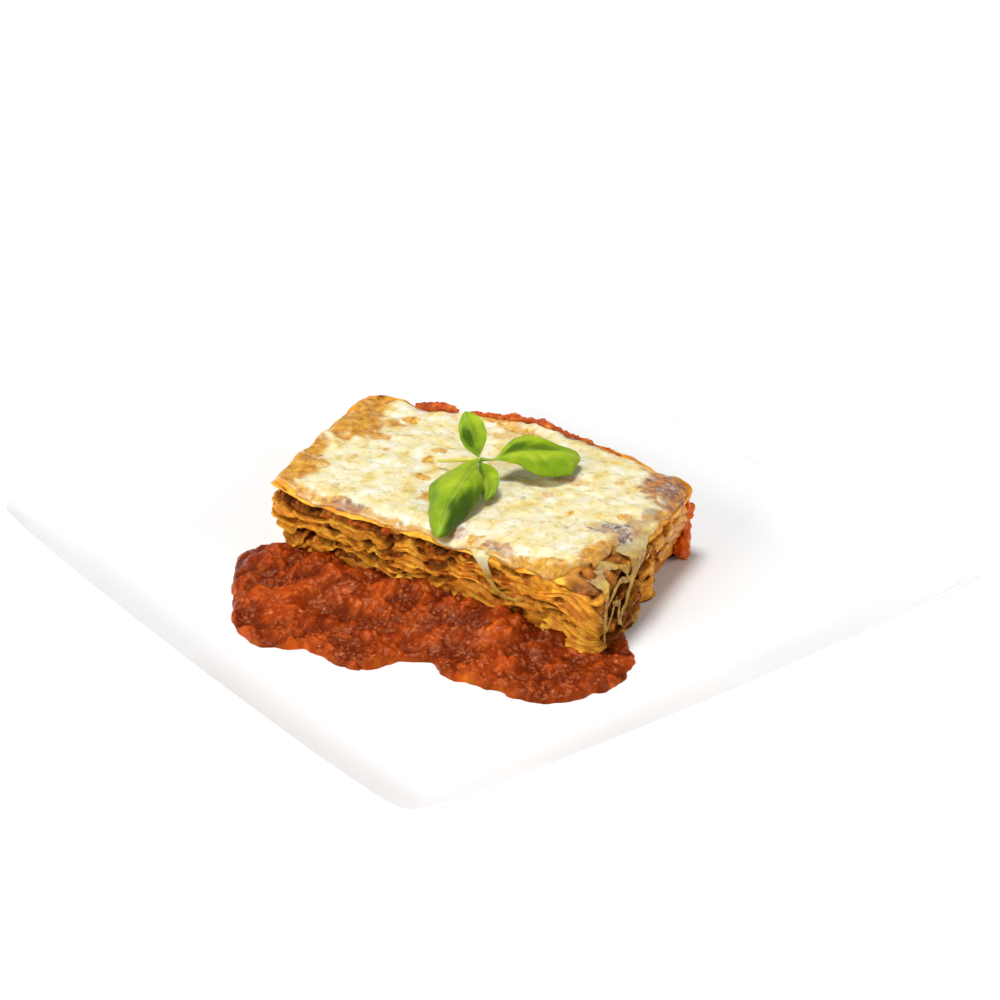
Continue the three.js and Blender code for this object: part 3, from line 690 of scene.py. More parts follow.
def basil():
    """Basil leaf with paler veins, painted light where it is lit and painted shade where it turns from the
    light and beside its midrib.
    """
    r = Recipe("basil_leaf")
    blade = r.ramp(r.noise(9, 4), [
        (0.3, (0.12, 0.22, 0.006)), (0.5, (0.21, 0.33, 0.009)), (0.72, (0.34, 0.45, 0.018)),
    ])
    veined = r.mix(r.attribute("vein"), blade, (0.358, 0.493, 0.0896))
    # Painted light where the leaf is lit, then painted shade where it turns from the light
    lit = r.mix(r.attribute("painted_leaf_light"), veined, (0.46, 0.55, 0.03))
    shaded = r.mix(r.attribute("painted_leaf_shade"), lit, (0.035, 0.085, 0.004))
    gloss = r.ramp(r.noise(2, 3), [(0.3, 0.34), (0.7, 0.5)])
    fine = r.bump(r.noise(0.9, 4, 0.6), 0.06, 0.5)
    r.soften(0.25, 1.0, (0.5, 1.0, 0.1))
    return r.finish(shaded, gloss, fine, Specular_IOR_Level=0.22, Specular_Tint=(0.85, 1.0, 0.4, 1))


def stalk():
    """Pale green stalk."""
    r = Recipe("basil_stalk")
    tone = r.ramp(r.noise(6, 3), [(0.3, (0.52, 0.50, 0.06)), (0.7, (0.74, 0.66, 0.15))])
    fine = r.bump(r.noise(1.2, 3), 0.08, 0.5)
    r.soften(0.3, 1.2, (0.8, 1.0, 0.2))
    return r.finish(tone, 0.38, fine)


# Plate


def plate_top(x, y):
    """The height of the plate's upper face, and how far up its rim each place lies, from 0 to 1."""
    inner = PLATE_HALF - RIM_WIDTH
    a, b = [np.clip(np.abs(c) - inner, 0, None) / RIM_WIDTH for c in (x, y)]
    reach = np.minimum(1, (a ** 7 + b ** 7) ** (1 / 7))
    rise = RIM_RISE_SIDE + (RIM_RISE_TIP - RIM_RISE_SIDE) * (np.abs(x * y) / PLATE_HALF ** 2) ** 2
    return FLOOR_Z + rise * reach ** RIM_CURVE - 0.8 * smooth(0.96, 1, reach), reach


def make_plate(material):
    """The square plate, its sides pulled in a little towards their tips, on its foot."""
    flat = PLATE_HALF - RIM_WIDTH
    rim = flat + RIM_WIDTH * np.sin(np.linspace(0, math.pi / 2, RIM_STEPS)[1:])
    lines = np.concatenate([-rim[::-1], np.linspace(-flat, flat, FLAT_STEPS), rim])
    x, y = np.meshgrid(lines, lines)
    top, reach = plate_top(x, y)
    thickness = BODY_THICKNESS + (LIP_THICKNESS - BODY_THICKNESS) * reach
    under = top - thickness + 1.4 * smooth(0.9, 1, reach)
    far_x, far_y = np.abs(x / PLATE_HALF), np.abs(y / PLATE_HALF)
    in_x = 1 - SIDE_PULL * far_y ** 10 * far_x ** 4
    in_y = 1 - SIDE_PULL * far_x ** 10 * far_y ** 4
    sides = [np.stack([x * in_x, y * in_y, z], axis=-1).reshape(-1, 3) for z in (top, under)]
    points = np.concatenate(sides)
    n = len(lines)
    loop = grid_rim(n, n)
    middle = points[loop] * 0.5 + points[loop + n * n] * 0.5
    middle[:, :2] += middle[:, :2] / np.abs(middle[:, :2]).max(axis=1)[:, None] * RIM_BULGE
    bulge = len(points) + np.arange(len(loop))
    points = np.concatenate([points, middle])
    faces = both_sides(n, n) + band(loop, bulge) + band(bulge, loop + n * n)
    foot_points, foot_faces = foot_ring(len(points))
    points = np.concatenate([points, foot_points])
    faces += foot_faces
    new_piece("plate_glazed", points, faces, material, place=as_is, nodes=["plate"])


def foot_ring(start):
    """The square foot under the plate, with softened edges."""
    turn = []
    inner = FOOT_HALF - FOOT_ROUNDING
    for k, (sx, sy) in enumerate([(1, 1), (-1, 1), (-1, -1), (1, -1)]):
        for a in np.linspace(k * math.pi / 2, (k + 1) * math.pi / 2, 12):
            turn.append((sx * inner, sy * inner, math.cos(a), math.sin(a)))
    turn = np.array(turn)
    top = FLOOR_Z - BODY_THICKNESS + 1
    half_profile = [(0, top), (0, 1.2), (0.5, 0.3), (1.3, 0)]
    profile = half_profile + [(FOOT_WIDTH - inset, z) for inset, z in half_profile[::-1]]
    rows = []
    for inset, z in profile:
        radius = FOOT_ROUNDING - inset
        ring = turn[:, :2] + turn[:, 2:] * radius
        rows.append(np.column_stack([ring, np.full(len(ring), z)]))
    return np.concatenate(rows), grid_faces(len(profile), len(turn), True, True, start)


# Pasta sheets and fillings


# Hollows in the front and in the right end, pushed in and darkened with painted shade: place along it,
# height, half length, half height
FRONT_PITS = [
    (-58.0, 35.6, 2.6, 2.6), (-54.0, 38.0, 4.5, 1.2), (-48.0, 37.6, 4.5, 1.6), (-47.0, 34.8, 3.0, 1.3),
    (-41.5, 36.6, 4.5, 1.5), (-35.0, 35.8, 4.0, 1.3), (-28.5, 35.0, 4.0, 1.3), (-22.0, 34.4, 3.0, 1.6),
    (-23.8, 26.6, 1.7, 1.7), (-21.3, 22.4, 2.4, 2.2), (-15.1, 29.4, 2.2, 1.7), (-11.4, 35.6, 2.4, 1.2),
    (-33.0, 20.7, 4.0, 1.0), (-41.5, 22.4, 3.0, 1.0), (-2.7, 33.0, 2.0, 1.2), (5.0, 32.4, 3.0, 1.2),
    (10.4, 28.8, 2.5, 1.1), (17.0, 34.4, 4.0, 1.8), (29.0, 30.4, 3.6, 1.4), (35.0, 33.0, 4.0, 1.5),
    (40.5, 33.6, 4.0, 1.5), (51.4, 35.2, 2.0, 0.9), (55.0, 33.2, 2.2, 1.0), (59.5, 32.4, 2.2, 1.0),
    (66.6, 30.7, 1.6, 1.3), (56.0, 13.8, 4.0, 1.6), (38.5, 17.6, 3.5, 1.5), (45.0, 24.6, 5.0, 0.8),
    (53.0, 22.3, 4.5, 0.8), (60.0, 19.4, 4.0, 0.8), (54.0, 27.6, 2.0, 1.0), (47.5, 19.6, 2.4, 1.0),
]
END_PITS = [
    (-30.5, 36.6, 4.6, 2.6), (-32.8, 29.6, 3.2, 2.6), (-32.5, 21.6, 3.2, 4.2), (-9.0, 27.5, 5.0, 8.0),
    (-14.5, 21.5, 3.0, 3.4), (17.0, 31.0, 4.2, 2.0), (27.0, 30.0, 3.0, 0.8), (7.0, 31.6, 5.0, 0.8),
    (12.0, 25.4, 6.0, 1.0), (-36.0, 14.0, 2.6, 1.4), (27.0, 22.0, 4.0, 0.9),
]


def pits(points):
    """How far a place lies in one of the hollows, which are pushed in and darkened with painted shade, from
    0 to 1.
    """
    u, v, z = points.T
    torn = 0.3 * drift(points, 3.5, 700, 2)
    total = np.zeros(len(points))
    for spots, along, beside in ((FRONT_PITS, u, v < -33), (END_PITS, v, u > 60)):
        for middle, height, half, half_height in spots:
            away = np.hypot((along - middle) / half, (z - height) / half_height) + torn
            total = np.maximum(total, beside * smooth(1.2, 0.7, away))
    return total


def flap_cover(u, v):
    """How much torn pasta hides the fillings round the slice, from 0 to 1."""
    front_right = smooth(0, 35, u) * smooth(-30, -38, v)
    end_back = smooth(58, 65, u) * smooth(0, 10, v)
    end_front = smooth(58, 65, u) * smooth(2, -8, v) * smooth(-40, -34, v)
    return 0.4 + 0.24 * front_right + 0.5 * end_back - 0.1 * end_front + 0.14 * behind(u, v)


def end_shade(points):
    """How dark with meat and sauce the torn part of the right end is, from 0 to 1."""
    u, v, z = points.T
    patches = smooth(-0.55, 0.15, drift(points, 6, 710, 2))
    return patches * smooth(58, 63, u) * smooth(-41, -36, v) * smooth(1, -6, v) * smooth(39, 36, z)


def grain(points, seed):
    """Fine ridges that run along the layers, a little aslant."""
    aslant = points[:, 2] + 0.22 * (points[:, 0] + points[:, 1])
    ridges = drift(np.column_stack([0.22 * points[:, 0], 0.22 * points[:, 1], aslant]), 1.7, seed, 2)
    return ridges * (1 - 0.6 * smoothness(points[:, 0], points[:, 1]))


def off_border(out, z, steps=slice(None)):
    """Points at heights z that stand out from the slice's border, at all or some of its steps."""
    return np.column_stack([BORDER[steps] + OUTWARD[steps] * out[:, None], z])


def there_and_back(steps):
    """Steps over one face of a strip, marked 1, then back over its other face, marked -1."""
    return [(1, step) for step in steps] + [(-1, step) for step in steps[::-1]]


class Strips:
    """The strips of one sheet of pasta: their points, faces, and stains and browning with painted shade
    mixed in, in one mesh.
    """

    def __init__(self):
        """No strips yet."""
        self.points = np.zeros((0, 3))
        self.faces = []
        self.browned_and_shaded = np.zeros(0)
        self.stain_and_shade = np.zeros(0)

    def add(self, rows, steps, browned_and_shaded, seed, stain_and_shade=None):
        """A tube from rows of points round its profile; one that isn't a whole ring is capped."""
        start = len(self.points)
        count, length = rows.shape[:2]
        points = rows.reshape(-1, 3)
        away = np.tile(OUTWARD[steps], (count, 1))
        out = ((points[:, :2] - np.tile(BORDER[steps], (count, 1))) * away).sum(axis=1)
        hollow = pits(points)
        points[:, :2] -= away * (PIT_DEPTH * hollow)[:, None]
        if length == BORDER_STEPS:
            self.faces += grid_faces(count, length, wrap_rows=True, wrap_columns=True, start=start)
        else:
            self.faces += tube_faces(count, length, start)
        self.points = np.concatenate([self.points, points])
        shade = end_shade(points)
        # Browning, with the hollows darkened as painted shade and the torn middle of the right end darkened
        # with meat and sauce
        self.browned_and_shaded = np.append(self.browned_and_shaded, np.maximum(browned_and_shaded, np.maximum(0.9 * hollow, 0.75 * shade)))
        # Sauce stain with painted shade in the creases of the grain and deeper in from the border, and the
        # meat and sauce of the right end
        if stain_and_shade is None:
            stain_and_shade = np.maximum(stain_and_crease_shade(points, seed), 0.6 * smooth(1.0, -0.8, out))
            stain_and_shade = np.maximum(stain_and_shade, 0.8 * shade)
        self.stain_and_shade = np.append(self.stain_and_shade, stain_and_shade)

    def finish(self, number, material):
        """Makes the sheet with this number, counted from the bottom."""
        tints = {"browned_and_shaded": self.browned_and_shaded, "stain_and_shade": self.stain_and_shade}
        new_piece(f"pasta_sheet_{number}", self.points, self.faces, material, tints, settled,
                  [f"pasta_{number}"])


def stain_and_crease_shade(points, seed):
    """How much meat sauce has soaked into the pasta, with painted shade in the creases of its grain, and
    less of both at the front left as painted light on layers that lie in the shade of those above.
    """
    patches = 0.85 * smooth(0.12, 0.6, drift(points, 5, 140 + seed, 3))
    # Painted light: less stain at the front left, brightening layers there that lie in the shade of those
    # above
    painted_light_at_front_left = 1 - 0.4 * smooth(0, -25, points[:, 0]) * smooth(-30, -37, points[:, 1])
    # Painted shade in the creases of the grain, added to the stain
    return np.clip(patches + 0.5 * smooth(0.1, -0.6, grain(points, 600 + seed)), 0, 0.95) * painted_light_at_front_left


def add_border(strips, k):
    """The border of a sheet: ragged, rippled and of uneven reach."""
    at = flat_points(*BORDER.T)
    uneven = 1.1 * drift(at, 5, 80 + k) + 0.5 * drift(at, 1.8, 90 + k)
    reach = 0.9 + 1.5 * drift(at, 15, 70 + k) + CALM * uneven
    reach = reach - (reach + 0.6) * CURTAINED
    curl = (0.4 + 0.6 * CALM) * (2.0 * drift(at, 10, 100 + k) + 1.0 * drift(at, 4, 110 + k)) - 0.4
    inwards = np.array([13.0, 8.0, 5.0, 3.2, 2.0, 1.1, 0.5, 0.12])
    half_thickness = BORDER_HALF * rolled(inwards, 0.8) * (1 + 0.5 * drift(at, 5, 125 + k))[:, None]
    rows = []
    browned_and_shaded = []
    for side, j in there_and_back(range(len(inwards))):
        d = inwards[j]
        out = np.minimum(reach, 2.8) - d
        hold = 1 - smooth(3, 12, np.full_like(out, d))
        middle = SHEETS[k] + (EDGES[k] - SHEETS[k]) * hold
        bend = curl * np.clip(1 - d / 4.2, 0, 1) ** 1.6
        ripple = 0.42 * CALM * drift(flat_points(*BORDER.T, d * 0.8), 2.8, 120 + k, 2)
        z = np.maximum(middle + bend + ripple + side * half_thickness[:, j], LOWEST)
        rows.append(off_border(out, z))
        browned_and_shaded.append(0.6 * np.clip(0.9 - d * 0.8, 0, 1) * smooth(0.1, 0.7, drift(at, 6, 130 + k)))
    strips.add(np.array(rows), np.arange(BORDER_STEPS), np.concatenate(browned_and_shaded), k)


def add_flap(strips, k, way, less=0.0):
    """A torn flap all along a sheet's border, hanging from it (way -1) or standing on it (way 1)."""
    seed = 500 + 20 * k + 5 * way
    at = flat_points(*BORDER.T, 7.0 * way)
    inside = 0 <= k + way < len(EDGES)
    gap = np.abs((EDGES[k + way] if inside else FLOOR_Z + 0.4) - EDGES[k])
    ragged_by = 0.7 * drift(at, 4.6, seed + 1) + 0.15 * drift(at, 2.0, seed + 2)
    wish = 0.9 * drift(at, 10, seed) + CALM * ragged_by
    cover = np.clip(0.45 + 0.7 * wish + 1.5 * (flap_cover(*BORDER.T) - 0.5) - less, 0, 1)
    length = 0.2 + 0.92 * gap * cover
    reach = 0.7 + CALM * (1.2 * drift(at, 7, seed + 3) + 0.3 * drift(at, 2.8, seed + 4))
    reach = reach - (reach + 0.6) * CURTAINED * (k < 5)
    rows = []
    for side, t in there_and_back(np.linspace(0, 1, 8)):
        hang = max(0.0, (t - 0.15) / 0.85)
        turned = float(smooth(0, 0.35, t))
        out = -1.8 + (1.8 + reach) * turned - 1.2 * hang ** 2
        here = off_border(out, EDGES[k] + way * length * hang)
        skin = side * FLAP_HALF * rounded(t, 0.85)
        rise = 0.5 * grain(here, seed + 5) * turned + skin * turned
        here[:, :2] += OUTWARD * rise[:, None]
        here[:, 2] = np.maximum(here[:, 2] - way * skin * (1 - turned), LOWEST)
        rows.append(here)
    rows = np.array(rows)
    browned_and_shaded = 0.25 * smooth(0.2, 0.8, drift(rows.reshape(-1, 3), 6, seed + 6))
    strips.add(rows, np.arange(BORDER_STEPS), browned_and_shaded, k + 10 * way)


# How far along the front and then up the right end each border step lies
RUN = BORDER[:, 0] + BORDER[:, 1] + 42
# How much smooth folds hide the torn layers round the slice, and how freely those stand out, from 0 to 1
CURTAINED = np.maximum(smooth(40, 48, RUN) * smooth(80, 74, RUN),
                       smooth(112, 119, RUN) * smooth(150, 146, RUN))
CALM = 1 - 0.65 * smoothness(*BORDER.T)
# Smooth folds of molten pasta: for each sheet, lines of (place along, top height, lower height), how far
# the folds stand out at their top and their lower edge, how many lie over each other and their relief
CURTAINS = {
    4: [dict(line=[(43, 27.6, 27.0), (45.5, 28.5, 25.6), (49, 29.5, 25.9), (54, 32.5, 25.2),
                   (61, 32.6, 21.0), (66.5, 28, 18.4), (71, 24.6, 16), (74, 22, 17)],
             out=(-0.6, 1.2), folds=4),
        dict(line=[(111, 34, 33), (116, 34, 26), (122, 34, 23.4), (132, 33.4, 20.3), (140, 32.5, 16),
                   (145, 31, 13), (148, 30, 16)], out=(-0.6, 0.9), folds=5, relief=0.55)],
    2: [dict(line=[(45, 24.5, 24), (47, 24.5, 20.3), (53.5, 24, 15.6), (61.4, 21.5, 13.4), (66.5, 18.6, 13),
                   (71.5, 16.5, 12.2), (74, 15, 13)], out=(0.2, 1.3), folds=3),
        dict(line=[(117, 24, 23), (122, 23.4, 18), (131, 21, 14), (140, 17, 11.5), (147, 15, 12)],
             out=(0.0, 0.8), folds=3, relief=0.55)],
    0: [dict(line=[(48, 16.5, 16), (52.6, 16.5, 13.2), (57.5, 14.5, 11.0), (65.4, 13.5, 10),
                   (71.2, 12.8, 9.8), (75, 12, 10.5)], out=(0.5, 1.9), folds=2)],
}


def add_curtain(strips, k, line, out, folds, relief=1.1):
    """Smooth folds that hang down the wall and overlap like shingles, with painted shadow under each fold's
    edge.
    """
    places = np.array(line, float)
    side = (BORDER[:, 1] < -30) | (BORDER[:, 0] > 60)
    steps = np.where(side & (RUN > places[0, 0]) & (RUN < places[-1, 0]))[0]
    steps = steps[np.argsort(RUN[steps])]
    run = RUN[steps]
    curve = through(places, 200)
    at = flat_points(run, 0.0, 60.0 * k)
    top = np.interp(run, curve[:, 0], curve[:, 1])
    low = np.interp(run, curve[:, 0], curve[:, 2]) + 0.5 * drift(at, 5, 760 + k, 2)
    low = np.minimum(low, top - 0.3)
    wander = relief ** 2 * (0.8 * drift(at, 17, 790 + k) + 0.25 * drift(at, 6, 795 + k))
    rows = []
    stain_and_shade = []
    for face, t in there_and_back(np.linspace(0, 1, CURTAIN_STEPS)):
        z = top + (low - top) * t
        here = flat_points(run, 0.45 * z, 50.0)
        phase = t * folds + wander * math.sin(math.pi * t)
        fold = phase - np.floor(phase)
        swell = 0.6 * drift(here, 9, 770 + k) * math.sin(math.pi * t) + 0.25 * drift(here, 3.5, 780 + k)
        shingle = relief * fold ** 1.4 * smooth(1.0, 0.93, fold) * (face > 0)
        stand = out[0] + (out[1] - out[0]) * t ** 0.8 + swell + shingle + face * FOLD_HALF * rounded(t, 0.9)
        rows.append(off_border(stand, z, steps))
        # Painted shadow just under the lower edge of each fold, broken up by noise; it darkens both the
        # stain and the browning
        stain_and_shade.append(0.95 * smooth(0.34, 0.0, fold) * smooth(-0.8, 0.2, drift(here, 6, 785 + k)))
    rows = np.array(rows)
    stain_and_shade = np.concatenate(stain_and_shade)
    soaked_and_shaded = np.maximum(stain_and_shade, 0.7 * stain_and_crease_shade(rows.reshape(-1, 3), k))
    strips.add(rows, steps, 0.7 * stain_and_shade, k + 30, soaked_and_shaded)


def add_shred(strips, k, number):
    """A torn shred that hangs or curls off the open edge of a sheet."""
    draw = np.random.default_rng(900 + 31 * k + number)
    start = int((number + draw.random() * 0.8) / SHREDS * BORDER_STEPS)
    count = int(draw.uniform(12, 47))
    steps = (start + np.arange(count)) % BORDER_STEPS
    share = np.linspace(0, 1, count)
    taper = np.sin(math.pi * share) ** 0.5
    drop = draw.uniform(-3.0, 2.0)
    reach = draw.uniform(0.6, 2.2) * (1 - CURTAINED[steps[count // 2]])
    lift = draw.uniform(-2.2, 2.2)
    slant = draw.uniform(-2.6, 2.6)
    wave = 0.9 * drift(flat_points(*BORDER[steps].T, 3.0 * number), 6, 150 + k, 2)
    rows = []
    for side, t in there_and_back(np.linspace(0, 1, 6)):
        out = -2.5 + (2.5 + reach + 0.4 * wave) * t * (0.35 + 0.65 * taper)
        z = EDGES[k][steps] + lift + slant * (share - 0.5) + drop * t ** 1.6 * taper + wave * t
        z = np.maximum(z + side * SHRED_HALF * rounded(t, 0.8) * (0.25 + 0.75 * taper), LOWEST)
        rows.append(off_border(out, z, steps))
    rows = np.array(rows)
    strips.add(rows, steps, np.full(rows.shape[0] * count, draw.uniform(0, 0.2)), k)


def make_sheet(k, material):
    """One sheet of pasta, with the flaps and shreds torn from it where it was cut."""
    strips = Strips()
    add_border(strips, k)
    add_flap(strips, k, -1, -2.0 if k == 0 else 0.0)
    add_flap(strips, k, 1, 0.12)
    for curtain in CURTAINS.get(k, []):
        add_curtain(strips, k, **curtain)
    for number in range(SHREDS):
        add_shred(strips, k, number)
    strips.finish(k + 1, material)


def make_filling(k, material):
    """Minced meat between two sheets: crumbs, hollows and pale dabs at its open side, with painted shade in
    the hollows and between crumbs.
    """
    u, v = BORDER.T
    low = EDGES[k] + 0.2
    high = EDGES[k + 1] - 0.2
    rows = []
    crumb = []
    painted_shade = []
    end_cavity = smooth(58, 66, u) * smooth(-42, -34, v) * smooth(8, -2, v)
    for t in np.linspace(-0.12, 1.12, 15):
        z = low + (high - low) * t
        at = np.column_stack([BORDER, z])
        warped = at + 0.9 * np.stack([drift(at, 3.5, 230 + c) for c in range(3)], axis=1)
        near, second, number = lumps(warped, 3.4, 200 + k)
        fine, fine_next, small_number = lumps(warped, 1.7, 220 + k)
        hollow = smooth(0.1, 0.45, drift(at, 7.0, 240 + k)) * smooth(0.9, 2.2, high - low)
        hollow = np.maximum(hollow, end_cavity * smooth(-0.35, 0.2, drift(at, 7, 245)))
        out = -1.9 + 3.0 * (0.45 - near ** 1.5) + 1.0 * (0.5 - fine) + 1.4 * drift(at, 6, 250 + k)
        pitted = pits(at)
        out = np.minimum(out - (3.6 + 3 * end_cavity) * np.maximum(hollow, pitted), 1.4)
        rows.append(off_border(out, z))
        crumb.append(0.7 * number + 0.3 * small_number)
        # Painted shade in the cracks between crumbs and in the hollows
        crack = 0.6 * smooth(0.22, 0.02, second - near) + 0.35 * smooth(0.3, 0.0, fine_next - fine)
        painted_shade.append(np.clip(np.maximum(hollow * 0.7, 0.9 * pitted) + crack, 0, 0.95))
    for z in (SHEETS[k + 1] - 0.35, SHEETS[k] + 0.35):
        rows.append(off_border(0 * u - FILLING_DEPTH, z + 0 * u))
        crumb.append(0 * u + 0.3)
        painted_shade.append(0 * u)
    faces = grid_faces(len(rows), BORDER_STEPS, wrap_rows=True, wrap_columns=True)
    tints = {"crumb": np.concatenate(crumb), "painted_shade": np.concatenate(painted_shade)}
    new_piece(f"meat_filling_{k + 1}", np.concatenate(rows), faces, material, tints, settled,
              [f"filling_{k + 1}"])


def back_border(u):
    """Where the back side of the slice lies, at places along it."""
    _, _, right, middle, left = SLICE_CORNERS
    return np.interp(u, [left[0], middle[0], right[0]], [left[1], middle[1], right[1]])


# The ridges of the bare corner run along the slice
RIDGE_STRETCH = 0.3
# For the front, right, back and left side: how far the top sheet and the cheese stop short of it, how ragged
# they are there, and steps as (amount, from, to) along it; less than nothing reaches past the side
LID_SIDES = [(-0.7, 0.9, []), (-0.6, 0.7, []), (-0.6, 0.6, []), (-1.8, 0.5, [])]
CHEESE_SIDES = [
    (-0.1, 1.2, [(-0.3, 0.45, 0.7), (8.5, 0.86, 0.95)]), (-0.4, 0.6, [(7.0, 0.46, 0.3)]),
    (2.0, 1.0, []), (-1.0, 0.5, [(1.2, 0.5, 0.75)]),
]
# What makes the sides ragged: strength, size and seed of each wave
LID_WAVES = [(1.2, 15, 340), (0.7, 6, 350), (0.2, 2.6, 360)]
CHEESE_WAVES = [(1.5, 13, 300), (0.7, 4.5, 310)]
# Length that each side's waves run over, and how far apart the waves of two sides lie
SIDE_RUN = 130.0
SIDE_APART = 400.0


def side_insets(sides, waves, start, shares):
    """How far a layer stops short of each side, at shares along it."""
    insets = []
    for side, ((short, ragged_by, steps), share) in enumerate(zip(sides, shares)):
        stepped = sum(amount * smooth(low, high, share) for amount, low, high in steps)
        place = start + side * SIDE_APART
        ragged_here = sum(strength * drift_over(share * SIDE_RUN, place, size, seed + side)
                          for strength, size, seed in waves)
        insets.append(short + stepped + ragged_by * ragged_here)
    return insets


def side_grid(pitch, sides, waves, start, corner_cut):
    """Places all over the slice in rows, each side's border moved in by its own amount, and their depth."""
    front_left, front_right, back_right, _, back_left = SLICE_CORNERS
    columns, rows = int(SLICE_LENGTH / pitch), int(SLICE_WIDTH / pitch)
    a, b = np.meshgrid(np.linspace(0, 1, columns), np.linspace(0, 1, rows))
    back_u = back_left[0] + (back_right[0] - back_left[0]) * a
    u = (front_left[0] + (front_right[0] - front_left[0]) * a) * (1 - b) + back_u * b
    v = (front_left[1] + (front_right[1] - front_left[1]) * a) * (1 - b) + back_border(back_u) * b
    pull = 9.5
    front, right, back, left = side_insets(sides, waves, start, (a, b, a, b))
    v = v + front * np.exp(-b * SLICE_WIDTH / pull) - back * np.exp(-(1 - b) * SLICE_WIDTH / pull)
    u = u - right * np.exp(-(1 - a) * SLICE_LENGTH / pull) + left * np.exp(-a * SLICE_LENGTH / (1.6 * pull))
    x, y = 2 * a - 1, 2 * b - 1
    sharp = 1 - 0.75 * smooth(0.5, 1, x) * smooth(0.5, 1, y)
    cut = corner_cut * sharp * (np.abs(x) * np.abs(y)) ** 10
    u = u - cut * np.sign(x)
    v = v - cut * np.sign(y)
    depth = np.minimum(np.minimum(b, 1 - b) * SLICE_WIDTH, np.minimum(a, 1 - a) * SLICE_LENGTH)
    return u, v, depth


def slab(u, v, top, under, rings):
    """A closed body from grids of heights for its top and underside, with rings of (out, share) between."""
    upper = np.stack([u, v, top], axis=-1).reshape(-1, 3)
    lower = np.stack([u, v, under], axis=-1).reshape(-1, 3)
    rim = grid_rim(*u.shape)
    away = outward(upper[rim, :2])
    points = [upper, lower]
    faces = both_sides(*u.shape)
    previous = rim
    start = 2 * len(upper)
    for out, share in rings:
        ring = upper[rim] * (1 - share) + lower[rim] * share
        ring[:, :2] += away * out
        points.append(ring)
        here = start + np.arange(len(rim))
        faces += band(previous, here)
        previous = here
        start += len(rim)
    return np.concatenate(points), faces + band(previous, rim + len(upper))


def bare_corner(u, v):
    """How far each place lies in the corner that the cheese leaves bare, from 0 to 1."""
    return smooth(52, 60, u) * smooth(-6, -16, v)


def make_lid(material):
    """The top sheet, baked golden and blistered where the cheese leaves it open."""
    u, v, depth = side_grid(LID_PITCH, LID_SIDES, LID_WAVES, 500.0, 3.2)
    at = flat_points(u, v)
    near, _, _ = lumps(at + 0.8 * drift(at, 4, 344)[:, None], 6.0, 345)
    blister = 0.3 * smooth(0.7, 0.1, near).reshape(u.shape) + 0.2 * drift_over(u, v, 8, 346, 3)
    crumple = 0.4 * drift_over(u, v, 7.5, 353, 2) * smooth(7, 0, depth)
    ridges = drift_over(u * RIDGE_STRETCH, v, 2.6, 356, 2)
    baked = 0.9 * drift_over(u, v, 4.4, 355, 3) + 0.9 * ridges - 0.5
    crumple = crumple + bare_corner(u, v) * baked
    level = top_level(u, v) + crumple
    edge = 0.4 * (1 - rolled(depth, TOP_ROUNDING)) + 0.5 * smooth(3, 0, depth)
    top = level + blister * smooth(0, 5, depth) - edge
    under = np.minimum(level - 0.85 - 0.6 * smooth(0, 6, depth), top - 0.3)
    strips = Strips()
    points, strips.faces = slab(u, v, top, under, ((0.15, 0.25), (0.18, 0.6), (0.1, 0.85)))
    strips.points = points
    pu, pv = points[:, 0], points[:, 1]
    bare = bare_corner(pu, pv)
    # Painted shade in the creases between the ridges of the bare corner, taken in with spots of real
    # browning
    creases = smooth(0.1, -0.35, drift_over(pu * RIDGE_STRETCH, pv, 2.6, 356, 2))
    spots = np.maximum(smooth(-0.1, 0.5, drift(points, 4, 354, 3)), creases)
    browned_and_shaded = 0.3 * smooth(0.05, 0.7, drift(points, 7, 348, 2)) + 0.4 * spotted(pu, pv, SINGED_SPOTS, 349)
    strips.browned_and_shaded = np.clip(browned_and_shaded + bare * (0.5 + 0.4 * spots) + 0.2 * behind(pu, pv), 0, 0.9)
    strips.stain_and_shade = np.maximum(0.5 * smooth(0.0, 0.7, drift(points, 10, 351, 3)), 0.45 * bare)
    add_flap(strips, 5, -1, 0.4)
    strips.finish(6, material)


# Cheese

# Toasted and burnt places on the top: U, V, half length, half width and strength
TOASTED_SPOTS = [
    (-49, 31, 3.6, 2.6, 1.0), (-26, 4, 2.6, 2.8, 1.0), (-21, -9, 3.6, 2.4, 0.9), (-25, 13, 2.4, 3.0, 0.8),
    (-12, -20, 3.2, 4.0, 0.9), (39, -5, 1.6, 2.0, 1.0), (25, 4, 2.2, 3.0, 0.6), (15, 8, 4.0, 2.4, 0.55),
    (26, 15, 5.0, 2.2, 0.6), (-17, 46, 8.0, 3.0, 0.9), (-6, 43, 7.0, 3.5, 0.8), (-10, 36, 7.0, 3.0, 0.5),
    (-44, -31, 2.0, 2.4, 0.6), (-51, -8, 2.4, 2.4, 0.6), (-56, -19, 3.0, 2.5, 0.7), (-43, 4, 1.4, 1.4, 0.6),
    (27, -30, 1.6, 1.6, 0.4), (20, -25, 1.6, 1.8, 0.4), (44, 24, 2.0, 2.0, 0.6), (56, 1, 4.0, 2.6, 0.8),
    (-35, 40, 3.0, 1.6, 0.5), (8, -12, 1.4, 1.4, 0.5), (33, -17, 1.4, 1.6, 0.5), (-2, 20, 1.6, 1.6, 0.5),
    (20, -39, 9.0, 2.6, 0.75), (47, -40, 12.0, 2.8, 0.85), (64, -33, 4.0, 5.0, 0.7),
    (-45, -39, 8.0, 2.4, 0.7), (64, 38, 7.0, 8.0, 0.8), (68, 26, 3.0, 9.0, 0.7),
]
